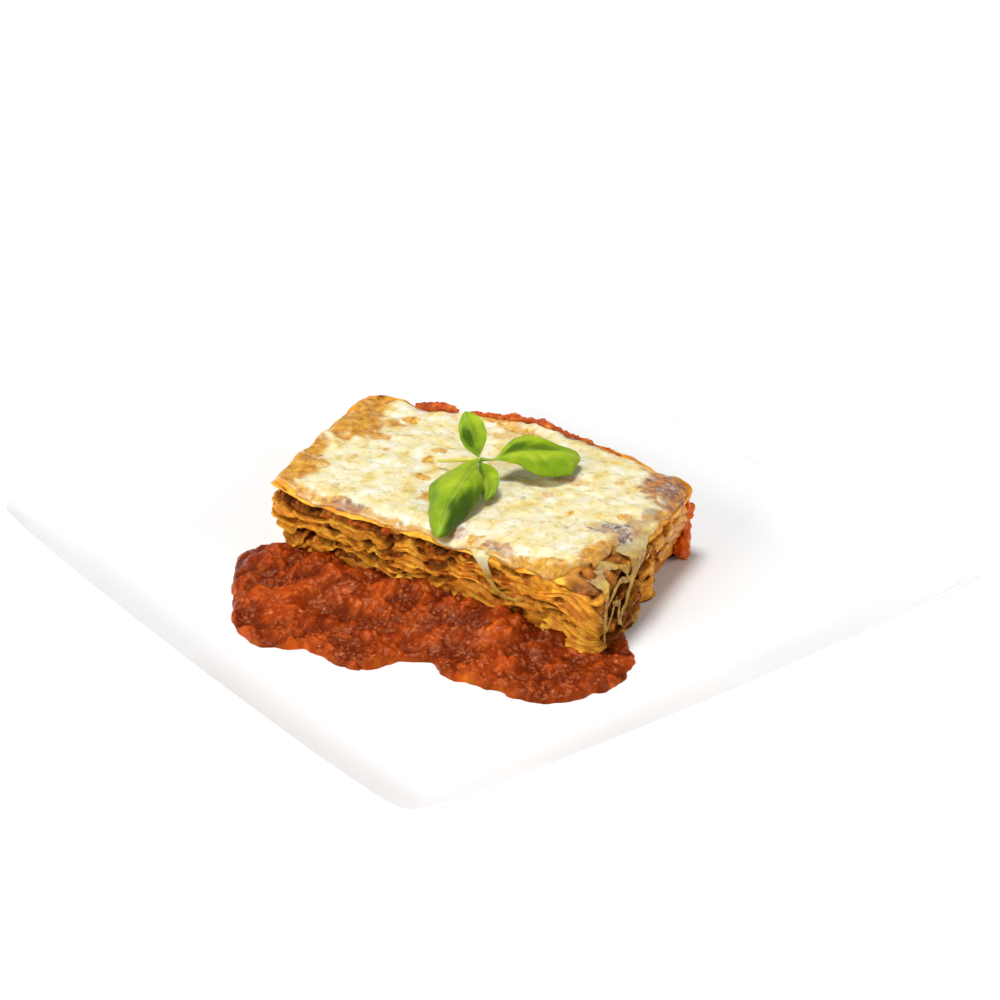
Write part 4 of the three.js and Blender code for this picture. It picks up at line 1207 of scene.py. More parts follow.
# Singed places, brown with a purple cast
SINGED_SPOTS = [
    (-35, -39, 8.0, 2.6, 0.9), (8, -38, 7.0, 2.6, 0.7), (28, -38, 6.0, 2.2, 0.7), (59, 31, 9.0, 11.0, 1.0),
    (63, -5, 3.0, 9.0, 0.6), (54, -10, 7.0, 4.0, 0.5), (64, 9, 3.0, 6.0, 0.6),
]
BURNT_SPOTS = [
    (60, -8, 4.0, 4.5, 0.8), (55, -6, 3.4, 3.0, 0.75), (64, -12, 2.2, 3.4, 0.9), (53, -12, 3.4, 1.6, 0.7),
    (43, -15, 1.2, 1.5, 0.6), (19, -4, 1.3, 1.3, 0.5), (60, 30, 3.0, 4.5, 0.6), (62, 23, 2.0, 2.4, 0.6),
    (52, 33, 2.4, 1.6, 0.6), (61, 12, 1.4, 1.6, 0.6), (-30, -38, 4.0, 1.0, 0.4), (26, -39, 4.0, 1.0, 0.5),
]
# Places where the crust under the cheese shows golden, and two golden patches of painted shadow under the
# right leaf, as if lit through it: U, V, half length, half width and strength
GOLDEN_SPOTS = [
    (-69, 31, 9.0, 15.0, 1.0), (-63, 15, 10.5, 12.0, 1.0), (-53, 25, 5.0, 3.4, 0.9),
    (-52, 12, 5.0, 3.8, 0.9), (-67, -9, 4.8, 9.0, 0.95), (-64, -27, 8.0, 15.0, 1.0),
    (-58, -39, 11.0, 3.6, 0.85), (-20, -41, 26.0, 2.6, 0.8), (62, 35, 11.0, 12.0, 1.0),
    (53, 41, 9.0, 5.0, 0.95), (67, 20, 3.4, 14.0, 0.9), (40, -42, 30.0, 2.2, 0.8),
    # The spots at (25, 17.5) and (9, 20) are painted shadow under the right leaf, golden as with light
    # through it
    (25, 17.5, 8.0, 2.6, 0.5), (9, 20, 6.0, 2.2, 0.35), (68, -5, 2.2, 28.0, 0.6),
    (61, -9, 8.0, 6.0, 0.4), (60, -30, 5.0, 14.0, 0.9), (52, -39, 9.0, 3.0, 0.9),
]


def spotted(u, v, spots, seed, ragged=0.35):
    """How strongly a place is covered by uneven spots."""
    torn = ragged * drift_over(u, v, 4.5, seed, 3)
    total = np.zeros(np.shape(u))
    for su, sv, half_u, half_v, strength in spots:
        away = np.hypot((u - su) / half_u, (v - sv) / half_v)
        total = np.maximum(total, strength * smooth(1.25, 0.65, away + torn))
    return total


def cheese_height(u, v, depth):
    """How thick the cheese lies on the top sheet, with its blisters and pocks, thinner at its edge."""
    at = flat_points(u, v)
    body = CHEESE_THICKNESS * (0.95 + 0.35 * drift_over(u, v, 19, 320))
    near, second, _ = [x.reshape(u.shape) for x in lumps(at + drift(at, 5, 326)[:, None], 9.0, 321)]
    blistered = smooth(0.0, 0.5, drift_over(u, v, 26, 322) + 0.25)
    blister = 0.6 * smooth(0.75, 0.15, near) * smooth(0, 0.4, second - near) * blistered
    crumple = 0.36 * drift_over(u, v, 6.5, 323, 2)
    pocks = 0.25 * smooth(0.45, 0.05, lumps(at, 5.0, 325)[0].reshape(u.shape))
    thickness = np.maximum(body + blister + crumple - pocks, 0.35)
    soft_edge = 5.0 + 6.0 * smooth(-40, -66, u) + 2.0 * drift_over(u, v, 8, 327)
    thickness = thickness * (0.25 + 0.75 * smooth(0, 1, depth / soft_edge))
    return GAP * 0.6 + 0.3 + (thickness - 0.3) * rolled(depth, TOP_ROUNDING)


def make_cheese(material):
    """The cheese over the top, with its skins down the front and the right end."""
    u, v, depth = side_grid(CHEESE_PITCH, CHEESE_SIDES, CHEESE_WAVES, 0.0, 3.6)
    top = top_level(u, v) + cheese_height(u, v, depth)
    points, faces = slab(u, v, top, top_level(u, v) - 0.6, ((0.15, 0.3), (0.12, 0.7)))
    pu, pv = points[:, 0], points[:, 1]
    tints = {
        "golden": spotted(pu, pv, GOLDEN_SPOTS, 330),
        "toasted": spotted(pu, pv, TOASTED_SPOTS, 331, 0.5),
        "singed": spotted(pu, pv, SINGED_SPOTS, 333, 0.5),
        "burnt": spotted(pu, pv, BURNT_SPOTS, 332, 0.6),
        "stretched": 0 * pu,
    }
    for skin in (wall_skin("front", FRONT_SKIN, 370), wall_skin("end", END_SKIN, 380)):
        skin_points, skin_faces, stretched = skin
        start = len(points)
        points = np.concatenate([points, skin_points])
        faces += [[start + i for i in face] for face in skin_faces]
        for key in tints:
            tints[key] = np.append(tints[key], stretched if key == "stretched" else 0 * stretched)
    new_piece("cheese_top", points, faces, material, tints, nodes=["cheese"])


# Skins of cheese down the sides, as ribbons: place along the side, height, half width and how far stretched
FRONT_SKIN = [
    [(22.4, 41.0, 4.0, 0.0), (23.0, 38.6, 3.0, 0.0), (24.2, 35.4, 1.9, 0.2), (26.0, 31.6, 1.3, 0.9),
     (29.0, 27.0, 1.2, 1.0), (34.0, 25.6, 1.1, 1.0), (40.0, 26.2, 0.6, 1.0)],
]
END_SKIN = [
    [(-9.0, 44.0, 8.5, 0.5), (-11.5, 39.0, 6.0, 0.85), (-15.0, 34.5, 3.6, 1.0), (-19.0, 29.5, 2.2, 1.0),
     (-23.0, 24.5, 1.3, 1.0), (-28.2, 18.3, 0.9, 1.0)],
    [(-34.0, 48.0, 3.4, 0.8), (-38.4, 39.0, 1.4, 1.0), (-40.0, 33.5, 0.9, 1.0), (-40.6, 27.0, 0.8, 1.0),
     (-39.4, 18.5, 0.6, 1.0)],
    [(-38.5, 33.8, 0.8, 1.0), (-31.5, 34.6, 1.1, 1.0), (-20.0, 32.6, 1.2, 1.0)],
    [(-31.5, 48.0, 3.4, 0.8), (-26.0, 41.0, 2.0, 1.0), (-21.0, 36.5, 1.9, 1.0)],
    [(-34.4, 31.0, 0.6, 1.0), (-28.6, 25.2, 1.1, 1.0), (-28.8, 20.0, 0.8, 1.0), (-24.6, 15.0, 0.6, 1.0)],
    [(-38.6, 23.0, 0.6, 1.0), (-34.2, 28.2, 0.8, 1.0), (-31.0, 30.5, 0.6, 1.0)],
]
# Height at which the skins turn over the upper edge, and the rounding of that edge
SKIN_EDGE_Z = 39.5
EDGE_ROUNDING = 1.5


def ribbons(a, z, lines):
    """How far inside the ribbons each place lies, and how far stretched they are there."""
    inside = np.full(a.shape, -99.0)
    stretched = np.zeros(a.shape)
    for line in lines:
        for along, height, half, share in through(line, 90):
            here = half - np.hypot(a - along, z - height)
            stretched = np.where(here > inside, share, stretched)
            inside = np.maximum(inside, here)
    return inside, stretched


def wall_place(side, a, drop, out):
    """A place on the front or the right end, by how far it hangs below the rounded upper edge."""
    if side == "front":
        u, v = a, np.interp(a, [-65, 70], [-41, -42])
        edge = flat_points(u, v + EDGE_ROUNDING)
    else:
        u, v = np.interp(a, [-42, 43], [70, 65.5]), a
        edge = flat_points(u - EDGE_ROUNDING, v)
    level = top_level(edge[:, 0], edge[:, 1]) + 0.85
    turn = drop / EDGE_ROUNDING
    past = out - EDGE_ROUNDING * np.logaddexp(0, -turn)
    z = level - EDGE_ROUNDING * np.logaddexp(0, turn)
    if side == "front":
        return np.column_stack([u, v - past, z])
    return np.column_stack([u + past, v, z])


def wall_skin(side, lines, seed):
    """A thin stretched skin with rounded rims, hanging over one side of the slice."""
    middles = np.array([point for line in lines for point in line])
    a, z = np.meshgrid(np.arange(middles[:, 0].min() - 11, middles[:, 0].max() + 11, SKIN_PITCH),
                       np.arange(middles[:, 1].min() - 3, middles[:, 1].max() + 1, SKIN_PITCH))
    at = flat_points(a, z, 100.0)
    inside, stretched = ribbons(a, z, lines)
    inside = inside + (0.45 * drift(at, 3.0, seed, 2)).reshape(a.shape)
    slope_z, slope_a = np.gradient(inside, SKIN_PITCH)
    steep = np.maximum(slope_a ** 2 + slope_z ** 2, 0.3)
    outside = np.minimum(inside, 0)
    along = (a - slope_a * outside / steep).ravel()
    height = (z - slope_z * outside / steep).ravel()
    half = SKIN_HALF * rolled(inside, 0.5).ravel()
    out = 1.3 + 0.5 * drift(at, 8, seed + 1) + 0.25 * grain(at[:, [2, 1, 0]], seed + 2)
    drop = SKIN_EDGE_Z - height
    points = np.concatenate([wall_place(side, along, drop, out + part) for part in (half, -half)])
    rows, columns = a.shape
    faces = np.array(grid_faces(rows, columns))
    faces = faces[(inside.ravel()[faces] > -SKIN_PITCH).all(axis=1)]
    used, faces = used_only(np.concatenate([faces, faces[:, ::-1] + rows * columns]))
    return points[used], faces, np.clip(np.tile(stretched.ravel(), 2), 0, 1)[used]


# Sauce

SAUCE_OUTLINE = [
    (-58, -33), (-69, -41), (-75, -49), (-69, -64), (-59, -78), (-50, -90), (-38, -95), (-19, -90),
    (-8, -93), (3, -91), (20, -74), (29, -81), (53, -80), (67, -79), (77, -71), (82, -60), (84, -46),
    (80, -35), (72, -23), (62, -14), (0, -25),
]


def domes(points, size, seed, fullness):
    """Scattered round lumps of uneven size, from 0 between them to 1 on their tops."""
    near, _, number = lumps(points, size, seed)
    radius = fullness * (0.55 + 0.6 * number)
    return np.clip(1 - (near / radius) ** 2, 0, 1) ** 0.8, number


def sauce_surface(u, v, depth):
    """At each place: height above the plate's floor, lump number, how far in a crease or low place it lies,
    painted as shade, and rise of the rim.
    """
    at = flat_points(u, v)
    warped = at + np.stack([1.3 * drift(at, 5, 404), 1.3 * drift(at, 5, 405), 0 * u], axis=1)
    against = smooth(-76, -46, v) * smooth(62, 24, u) * smooth(-78, -60, u)
    rim = rolled(depth, SAUCE_RIM, 2.2)
    left = smooth(5, -30, u)
    aslant = flat_points(0.45 * (u + v), 0.8 * (v - u))
    valleys = smooth(0.55, 0.0, np.abs(drift(aslant + 2.0 * drift(at, 9, 407)[:, None], 15, 406)))
    swell = (1.3 + 0.9 * left) * drift(at, 15, 400, 2) - (1.0 + 1.1 * left) * valleys
    thinner = 2.2 * smooth(56, 66, u) * smooth(-58, -48, v)
    body = SAUCE_THICKNESS - thinner + SAUCE_BANK * against + swell
    chunk, chunk_number = domes(warped, 8.5, 401, 0.52)
    mince, mince_number = domes(warped, 3.8, 402, 0.50)
    crumb, _ = domes(warped, 2.0, 403, 0.5)
    smoother = smooth(-0.1, 0.5, drift(at, 19, 408))
    relief = 1.8 * chunk * (chunk_number > 0.45) + (1.3 * mince + 0.6 * crumb) * (1 - 0.65 * smoother) - 1.3
    height = np.maximum((body + relief * (0.4 + 0.6 * rim)) * rim, 0.0)
    # Painted shade in the gaps between lumps, in the valleys and in low places
    crease = 0.55 * (1 - mince) * (1 - 0.6 * chunk) * (1 - 0.5 * crumb) * (1 - 0.5 * smoother)
    crease = np.clip(crease + 0.55 * valleys + 0.4 * smooth(0.0, -1.3, drift(at, 15, 400, 2)), 0, 1)
    return height, 0.5 * chunk_number + 0.5 * mince_number, crease, rim


def sauce_depth(outline, u, v):
    """How far inside the lobed outline of the sauce each place lies."""
    lobes, _ = domes(flat_points(u, v), 13, 413, 0.62)
    lobed = 2.2 * (lobes.reshape(u.shape) - 0.6)
    waved = 0.8 * drift_over(u, v, 5, 411) + 0.2 * drift_over(u, v, 2.2, 412)
    return inside_by(outline, u, v) + lobed + waved


def make_sauce(material):
    """The pool of sauce on the plate."""
    outline = evenly(through(SAUCE_OUTLINE, 400, closed=True), 300)
    low, high = outline.min(axis=0) - 3, outline.max(axis=0) + 3
    u, v = np.meshgrid(np.arange(low[0], high[0], SAUCE_PITCH), np.arange(low[1], high[1], SAUCE_PITCH))
    rows, columns = u.shape
    depth = sauce_depth(outline, u, v)
    slope_v, slope_u = np.gradient(depth, SAUCE_PITCH)
    depth, u, v = depth.ravel(), u.ravel(), v.ravel()
    faces = np.array(grid_faces(rows, columns))
    inside = (depth > 0) & (inside_by(COARSE_BORDER, u, v) < 3.0)
    used, faces = used_only(faces[inside[faces].any(axis=1)])
    u, v, depth = u[used], v[used], depth[used]
    slope_u, slope_v = slope_u.ravel()[used], slope_v.ravel()[used]
    steep = np.maximum(slope_u ** 2 + slope_v ** 2, 0.4)
    outside = np.minimum(depth, 0)
    u = u - slope_u * outside / steep
    v = v - slope_v * outside / steep
    height, number, crease, rim = sauce_surface(u, v, np.maximum(depth, 0))
    height = np.where(depth <= 0, 0.0, height)
    points = np.column_stack([u, v, FLOOR_Z + 0.02 + height])
    # Painted shade on the sauce next to the slice, added to that of the creases
    shaded = 0.7 * smooth(-62, -44, v) * smooth(0.2, 1.0, rim)
    tints = {
        "crumb": number,
        "painted_shade": np.clip(crease * 0.85 + 0.25 * shaded, 0, 0.92),
        "thin": 0.85 * smooth(0.92, 0.2, rim),
    }
    new_piece("sauce_on_plate", points, faces, material, tints, nodes=["sauce_pool"])


# Sauce on the back right corner, as lobes: middle, then half sizes
CORNER_LOBES = [
    ((55.0, 42.6, FLOOR_Z + 5), (9.0, 4.4, 6.4)), ((57.5, 42.4, FLOOR_Z + 12), (5.4, 3.6, 8.4)),
    ((52.0, 42.8, FLOOR_Z + 14), (3.4, 2.8, 4.2)), ((47.5, 43.6, FLOOR_Z + 2), (4.4, 3.4, 3.6)),
    ((63.6, 38.2, FLOOR_Z + 5), (3.3, 4.4, 6.0)), ((64.4, 39.6, FLOOR_Z + 16), (1.6, 3.4, 9.0)),
]


def make_smear(material):
    """Sauce down the back right corner."""
    rows, columns = 36, 54
    tilt = np.linspace(0.02, math.pi - 0.02, rows)[:, None]
    turn = np.linspace(0, 2 * math.pi, columns, endpoint=False)[None, :]
    ball = [np.sin(tilt) * np.cos(turn), np.sin(tilt) * np.sin(turn), np.cos(tilt) + 0 * turn]
    ball = np.stack(ball, axis=-1).reshape(-1, 3)
    points = np.concatenate([ball * half + middle for middle, half in CORNER_LOBES])
    away = np.tile(ball, (len(CORNER_LOBES), 1))
    near, second, number = lumps(points, 3.6, 420)
    chunky, _ = domes(points, 3.4, 422, 0.55)
    points += away * (1.3 * (chunky - 0.5) + 1.1 * drift(points, 6, 421, 2) - 0.2)[:, None]
    points[:, 2] = np.maximum(points[:, 2], FLOOR_Z + 0.05)
    faces = []
    for start in range(0, len(points), rows * columns):
        faces += grid_faces(rows, columns, wrap_columns=True, start=start)
        faces.append([start + k for k in range(columns)])
        faces.append([start + (rows - 1) * columns + k for k in range(columns)])
    # Painted shade in the creases, left off where the smear shows at the right end
    creases = 0.55 * (1 - chunky) + 0.2 * smooth(0.2, 0, second - near)
    seen = smooth(60, 62.5, points[:, 0])
    tints = {"crumb": number * 0.5 + 0.4, "painted_shade": creases * (1 - seen), "thin": 0.2 + 0.8 * seen}
    new_piece("sauce_on_corner", points, faces, material, tints, nodes=["sauce_smear"])


def lumpy_strand(name, path, half_width, height, material, node, seed):
    """A lumpy strip of baked tomato that lies along a line on the slice's top."""
    along = np.gradient(path, axis=0)
    along[:, 2] = 0
    along = unit(along)
    side = np.stack([-along[:, 1], along[:, 0], 0 * along[:, 0]], axis=1)
    rows = []
    around = 22
    for angle in np.linspace(0, 2 * math.pi, around, endpoint=False):
        lift = height * max(math.sin(angle), -0.25)
        rows.append(path + side * (half_width * math.cos(angle))[:, None] + [0, 0, 1] * lift[:, None])
    points = np.concatenate(rows)
    away = points - np.tile(path, (around, 1))
    away /= np.maximum(np.linalg.norm(away, axis=1), 1e-6)[:, None]
    near, _, _ = lumps(points, 2.6, seed)
    points += away * (0.9 * (0.42 - near) + 0.4 * drift(points, 1.6, seed + 1, 2))[:, None]
    new_piece(name, points, tube_faces(around, len(path)), material, nodes=[node])


def make_edge_sauce(material):
    """The line of sauce baked on along the back edge of the top."""
    share = np.linspace(0, 1, 170)
    u = 34 - 65 * share
    v = back_border(u) - 2.3 + 0.7 * drift_over(u, 0, 8, 430)
    body = np.sin(math.pi * (0.04 + 0.92 * share)) ** 0.5 * (0.75 + 0.6 * drift_over(u, 0, 6, 431, 2))
    z = TOP_INSIDE + GAP + 0.5 - edge_droop(u, v)
    thin = 1 - 0.6 * smooth(-5, 8, u)
    lumpy_strand("sauce_on_edge", np.column_stack([u, v, z]), (0.5 + 2.2 * body) * thin,
                 (0.4 + 2.0 * body) * thin, material, "edge_sauce", 432)


def make_tomato_piece(material):
    """The strip of tomato at the back left of the top."""
    share = np.linspace(0, 1, 90)
    u = -36 - 17 * share
    v = back_border(u) - 2.6 + 0.5 * np.sin(share * 5)
    body = np.sin(math.pi * (0.05 + 0.9 * share)) ** 0.8
    z = TOP_INSIDE + GAP + 0.9 - edge_droop(u, v)
    lumpy_strand("tomato_strip", np.column_stack([u, v, z]), 0.3 + 2.0 * body, 0.4 + 2.5 * body, material,
                 "tomato_piece", 440)


# Basil

# Each leaf: its midrib, half widths and fold angles (degrees) of its two sides at the stations, and its
# places of painted shade and painted light as share along, share across, their half sizes and strength
STATIONS = [0, 0.08, 0.16, 0.28, 0.42, 0.56, 0.7, 0.84, 0.94, 1.0]
LEAVES = {
    "basil_leaf_front": dict(
        spine=[(-1.6, 0.2, 48.2), (0.8, -10.2, 49.8), (4.2, -24.2, 50.2), (5.9, -36.9, 47.0),
               (8.3, -47.6, 41.2)],
        plus=[0.6, 0.5, 1.6, 5.8, 7.8, 8.4, 8.2, 6.4, 4.0, 0],
        minus=[0.6, 3.2, 9.4, 13.4, 13.8, 12.6, 10.4, 6.8, 3.6, 0],
        fold_plus=[0, 0, -14, -24, -32, -46, -56, -58, -50, -40],
        fold_minus=[0, 0, -26, -22, -22, -28, -34, -38, -38, -30], puff=0.9, lean=0.0,
        shade=[(0.72, 0.62, 0.26, 0.6, 0.95), (0.5, 0.9, 0.2, 0.25, 0.7)],
        shine=[(0.3, -0.4, 0.3, 0.4, 0.35)]),
    "basil_leaf_right": dict(
        spine=[(-1.8, 0.5, 48.2), (2.7, 2.3, 48.6), (5.1, 6.0, 49.2), (7.5, 10.2, 49.6), (12.4, 15.4, 49.4),
               (18.1, 20.3, 48.6), (22.2, 24.9, 47.0), (25.6, 27.5, 44.0)],
        plus=[0.6, 0.5, 0.6, 3.0, 5.8, 6.2, 4.6, 2.6, 3.0, 0],
        minus=[0.6, 0.5, 1.2, 6.0, 10.4, 12.4, 12.4, 11.4, 8.8, 0],
        fold_plus=[0, 0, 10, 24, 30, 26, 14, 0, -10, -10],
        fold_minus=[0, 0, -6, -12, -16, -18, -18, -18, -20, -20], puff=1.7, lean=0.1,
        shade=[(0.36, 0.25, 0.14, 0.22, 0.7), (0.6, 0.15, 0.2, 0.16, 0.45)],
        shine=[(0.5, -0.35, 0.28, 0.3, 0.5), (0.52, 0.7, 0.2, 0.3, 0.4), (0.9, -0.1, 0.12, 0.5, 0.3)]),
    "basil_leaf_back": dict(
        spine=[(-1.7, 0.3, 48.4), (-3.7, 2.2, 50.0), (-6.3, 4.4, 53.0), (-9.4, 6.6, 57.4),
               (-13.7, 10.2, 60.6)],
        plus=[0.6, 0.6, 1.8, 3.6, 4.6, 4.8, 4.2, 2.8, 1.4, 0],
        minus=[0.6, 0.6, 2.4, 4.6, 5.7, 5.7, 5.0, 3.3, 1.6, 0],
        fold_plus=[0, 0, 14, 18, 20, 20, 18, 12, 6, 0],
        fold_minus=[0, 0, 14, 18, 20, 18, 14, 10, 6, 0], puff=0.4, lean=-0.55,
        shade=[(0.45, 0.4, 0.28, 0.42, 0.8), (0.15, 0.0, 0.12, 1.0, 0.5)],
        shine=[(0.6, -0.6, 0.3, 0.35, 0.3)]),
    "basil_leaf_small": dict(
        spine=[(-1.3, 0.0, 47.8), (2.2, -3.5, 47.0), (6.0, -8.0, 46.0), (8.6, -11.9, 44.4),
               (10.4, -17.0, 42.4)],
        plus=[0.6, 0.8, 2.0, 3.4, 4.4, 4.6, 4.0, 2.6, 1.2, 0],
        minus=[0.6, 0.7, 1.4, 2.2, 2.8, 3.0, 2.8, 1.8, 1.0, 0],
        fold_plus=[0, 10, 20, 24, 24, 20, 12, 0, 0, 0],
        fold_minus=[0, -10, -20, -24, -24, -20, -16, -10, 0, 0], puff=0.4, lean=0.1,
        shade=[(0.3, -0.5, 0.3, 0.5, 0.5)], shine=[(0.6, 0.4, 0.3, 0.4, 0.25)]),
}


def by_station(values, share):
    """A smooth course through a leaf's values at its stations."""
    line = through(np.column_stack([STATIONS, values]), 300)
    return np.interp(share, line[:, 0], line[:, 1])


def leaf_patches(patches, share, across, seed):
    """How strongly soft patches cover a leaf, at one place across it."""
    at = flat_points(share * 30.0, across * 10.0, seed * 40.0)
    torn = 0.25 * drift(at, 6, 450 + seed, 2)
    total = np.zeros(len(share))
    for along, beside, half, half_across, strength in patches:
        away = np.hypot((share - along) / half, (across - beside) / half_across)
        total = np.maximum(total, strength * smooth(1.2, 0.5, away + torn))
    return total


def make_leaf(name, leaf, material, seed):
    """A thin leaf, folded along its midrib, with its veins, quilting and curl."""
    spine = evenly(through(leaf["spine"], 300), LEAF_ROWS, closed=False)
    along = unit(np.gradient(spine, axis=0))
    level = unit(np.cross([0, 0, 1.0], along))
    lift = np.cross(along, level)
    c, s = math.cos(leaf["lean"]), math.sin(leaf["lean"])
    across = level * c + lift * s
    normal = lift * c - level * s
    share = np.linspace(0, 1, LEAF_ROWS)
    places = np.zeros((LEAF_ROWS, LEAF_COLUMNS, 3))
    vein, painted_leaf_shade, painted_leaf_light = np.zeros((3, LEAF_ROWS, LEAF_COLUMNS))
    for j, t in enumerate(np.linspace(-1, 1, LEAF_COLUMNS)):
        key = "plus" if t > 0 else "minus"
        half = by_station(leaf[key], share)
        half = np.maximum(half * (1 + 0.015 * np.sin(share * 38 + seed) * smooth(2, 5, half)), 0)
        fold = np.radians(by_station(leaf["fold_" + key], share)) * (0.5 + 0.5 * abs(t))
        blade = np.clip(half / 8, 0, 1)
        reach = half * abs(t)
        row = share * 6.5 - 1.5 * abs(t)
        rib = bump(reach, 0, 0.5) * smooth(1.0, 0.8, share)
        branch = bump(row - np.round(row), 0, 0.09) * smooth(1.0, 0.6, np.full_like(half, abs(t))) * blade
        quilt = 0.45 * np.abs(np.sin(math.pi * row)) ** 0.7 * math.sin(math.pi * abs(t)) * blade
        rise = leaf["puff"] * math.sin(math.pi * abs(t)) * blade + quilt - 0.35 * rib * blade
        places[:, j] = spine + across * (math.copysign(1, t) * reach * np.cos(fold))[:, None]
        places[:, j] += normal * (reach * np.sin(fold) + rise)[:, None]
        vein[:, j] = np.clip(0.5 * rib + 0.2 * branch, 0, 1)
        # Painted shade on the patches turned from the light and beside the midrib; painted light on the lit
        # patches
        painted_leaf_shade[:, j] = leaf_patches(leaf["shade"], share, t, seed) + 0.2 * bump(reach, 0.8, 0.9) * blade
        painted_leaf_light[:, j] = leaf_patches(leaf["shine"], share, t, seed + 10)
    facing = np.cross(np.gradient(places, axis=0), np.gradient(places, axis=1))
    facing /= np.maximum(np.linalg.norm(facing, axis=2), 1e-9)[..., None]
    edge = 1 - np.abs(np.linspace(-1, 1, LEAF_COLUMNS))[None, :] ** 6
    half_thick = (0.10 + 0.13 * edge + 0.4 * smooth(0.12, 0.0, share)[:, None])[..., None]
    points = np.concatenate([(places + facing * part).reshape(-1, 3) for part in (half_thick, -half_thick)])
    rim = grid_rim(LEAF_ROWS, LEAF_COLUMNS)
    faces = both_sides(LEAF_ROWS, LEAF_COLUMNS) + band(rim, rim + LEAF_ROWS * LEAF_COLUMNS)
    tints = {
        "vein": np.tile(vein.ravel(), 2),
        "painted_leaf_shade": np.tile(np.clip(painted_leaf_shade, 0, 1).ravel(), 2),
        "painted_leaf_light": np.tile(np.clip(painted_leaf_light, 0, 1).ravel(), 2),
    }
    new_piece(name.replace("basil_leaf", "basil_blade"), points, faces, material, tints,
              nodes=[name])


STALK_LINE = [
    (-1.2, 0.4, 48.2), (-6.2, 0.6, 47.0), (-10.5, -0.1, 46.0), (-16.6, 0.2, 44.0), (-19.7, 1.3, 42.8),
]


def make_stem(material):
    """The stalk of the sprig, thickened where the leaves join it."""
    path = through(STALK_LINE, 60)
    along = unit(np.gradient(path, axis=0))
    side = unit(np.cross(along, [0, 0, 1.0]))
    up = np.cross(side, along)
    share = np.linspace(0, 1, len(path))
    radius = 0.72 - 0.1 * share + 0.45 * bump(share, 0.02, 0.06) - 0.35 * smooth(0.97, 1, share)
    around = 16
    rows = [path + side * (radius * math.cos(a))[:, None] + up * (radius * math.sin(a))[:, None]
            for a in np.linspace(0, 2 * math.pi, around, endpoint=False)]
    faces = tube_faces(around, len(path))
    new_piece("basil_stalk_laid", np.concatenate(rows), faces, material, nodes=["basil_stem"])


# Floor, light and camera


def make_floor():
    """A pale floor all round."""
    mesh = bpy.data.meshes.new("floor")
    s = FLOOR_HALF
    mesh.from_pydata([(-s, -s, 0), (s, -s, 0), (s, s, 0), (-s, s, 0)], [], [[0, 1, 2, 3]])
    r = Recipe("pale_floor")
    r.shader.inputs["Emission Color"].default_value = (1, 1, 1, 1)
    r.shader.inputs["Emission Strength"].default_value = FLOOR_GLOW
    mesh.materials.append(r.finish((0.8, 0.8, 0.8), 0.9))
    floor = bpy.data.objects.new("floor", mesh)
    bpy.context.scene.collection.objects.link(floor)


def make_lights():
    """White light from all round, a little stronger from one side, and three soft round lamps."""
    world = bpy.data.worlds.new("studio")
    bpy.context.scene.world = world
    world.use_nodes = True
    nodes = world.node_tree.nodes
    links = world.node_tree.links
    background = nodes["Background"]
    background.inputs["Color"].default_value = (1.0, 1.0, 1.0, 1)
    az = math.radians(CAMERA_AZIMUTH)
    rightwards = Vector((math.cos(az), math.sin(az), 0))
    away = Vector((-math.sin(az), math.cos(az), 0))
    direction = nodes.new("ShaderNodeTexCoord")
    lean = nodes.new("ShaderNodeVectorMath")
    lean.operation = "DOT_PRODUCT"
    lean.inputs[1].default_value = rightwards * WORLD_LEAN[0] + away * WORLD_LEAN[1]
    links.new(direction.outputs["Generated"], lean.inputs[0])
    strength = nodes.new("ShaderNodeMath")
    strength.operation = "MULTIPLY_ADD"
    strength.inputs[1].default_value = WORLD_LIGHT
    strength.inputs[2].default_value = WORLD_LIGHT
    links.new(lean.outputs["Value"], strength.inputs[0])
    links.new(strength.outputs["Value"], background.inputs["Strength"])
    for name, (right, back, up), size, power in LAMPS:
        lamp = bpy.data.lights.new(name, "AREA")
        lamp.shape = "DISK"
        lamp.size = size
        lamp.energy = power
        spot = rightwards * right + away * back + Vector((0, 0, up))
        holder = bpy.data.objects.new(name, lamp)
        holder.location = spot
        holder.rotation_euler = (Vector(LAMP_TARGET) - spot).to_track_quat("-Z", "Y").to_euler()
        bpy.context.scene.collection.objects.link(holder)


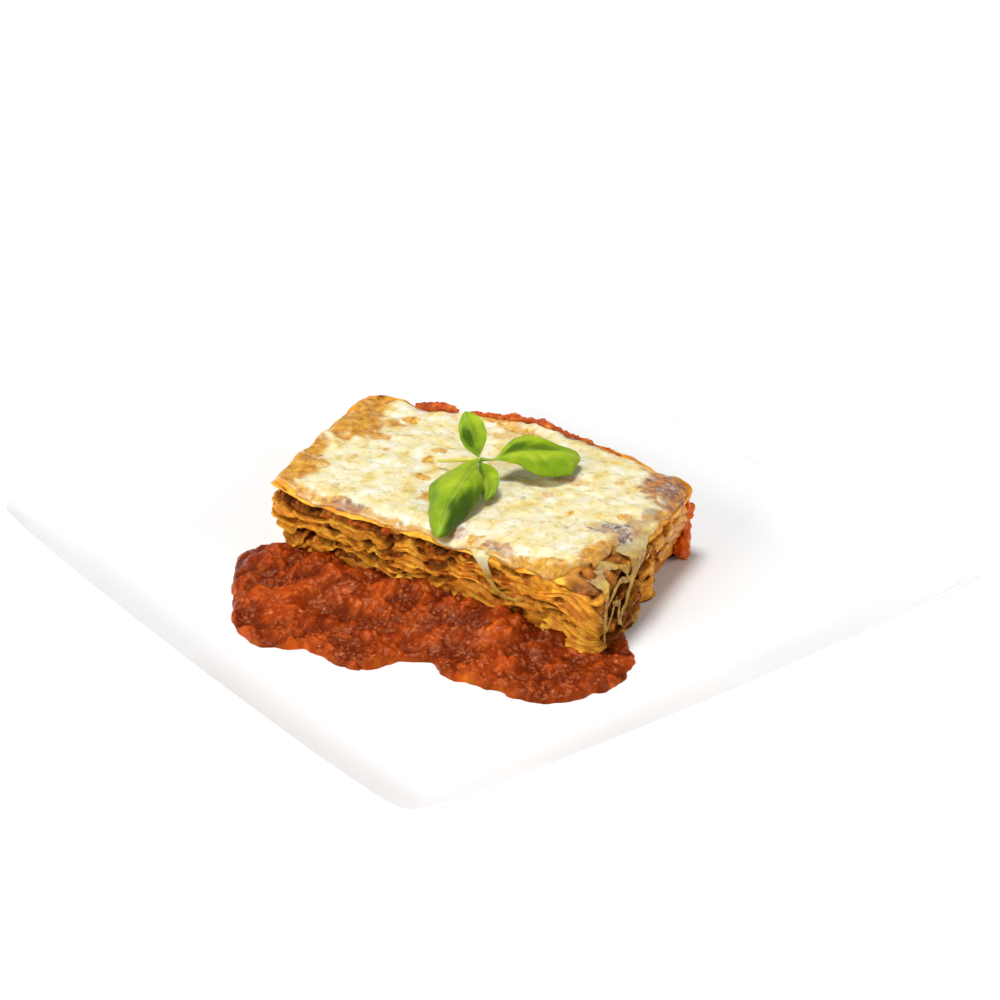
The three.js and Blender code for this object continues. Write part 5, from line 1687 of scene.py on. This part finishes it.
def make_camera():
    """The camera, its place given as distance, sideways and upwards from the plate's floor."""
    az, el, roll = [math.radians(a) for a in (CAMERA_AZIMUTH, CAMERA_ELEVATION, CAMERA_ROLL)]
    back = Vector((math.sin(az) * math.cos(el), -math.cos(az) * math.cos(el), math.sin(el)))
    level = Vector((math.cos(az), math.sin(az), 0))
    lift = back.cross(level)
    right = math.cos(roll) * level + math.sin(roll) * lift
    up = math.cos(roll) * lift - math.sin(roll) * level
    data = bpy.data.cameras.new("camera")
    data.sensor_width = SENSOR_MM
    data.lens = FOCAL_PIXELS * SENSOR_MM / PICTURE_PIXELS
    data.clip_start = 0.01
    camera = bpy.data.objects.new("camera", data)
    place = Vector((0, 0, FLOOR_Z)) + back * CAMERA_DISTANCE + right * CAMERA_SIDEWAYS + up * CAMERA_UPWARDS
    turn = Matrix((right, up, back)).transposed().to_4x4()
    camera.matrix_world = Matrix.Translation(place * 0.001) @ turn
    bpy.context.scene.collection.objects.link(camera)
    bpy.context.scene.camera = camera


def set_colour():
    """Plain colours, as they are."""
    view = bpy.context.scene.view_settings
    view.view_transform = "Standard"
    view.look = "None"
    view.exposure = 0.0
    view.gamma = 1.0


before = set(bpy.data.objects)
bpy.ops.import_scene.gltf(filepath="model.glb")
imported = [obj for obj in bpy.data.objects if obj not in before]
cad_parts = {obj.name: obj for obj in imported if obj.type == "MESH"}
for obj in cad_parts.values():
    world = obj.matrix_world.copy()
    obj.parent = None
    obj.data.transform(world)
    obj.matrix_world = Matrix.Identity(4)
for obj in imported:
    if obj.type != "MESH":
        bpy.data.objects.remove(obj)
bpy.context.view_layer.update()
make_camera()
make_lights()
make_floor()
set_colour()
make_plate(porcelain())
pasta_look, meat_look, sauce_look = pasta(), meat(), sauce()
tomato_look, leaf_look = tomato(), basil()
for number in range(len(SHEETS) - 1):
    make_sheet(number, pasta_look)
make_lid(pasta_look)
for number in range(len(FILLING_THICKNESS)):
    make_filling(number, meat_look)
make_cheese(cheese())
make_sauce(sauce_look)
make_smear(sauce_look)
make_edge_sauce(tomato_look)
make_tomato_piece(tomato_look)
for number, (leaf_name, leaf) in enumerate(LEAVES.items()):
    make_leaf(leaf_name, leaf, leaf_look, number)
make_stem(stalk())
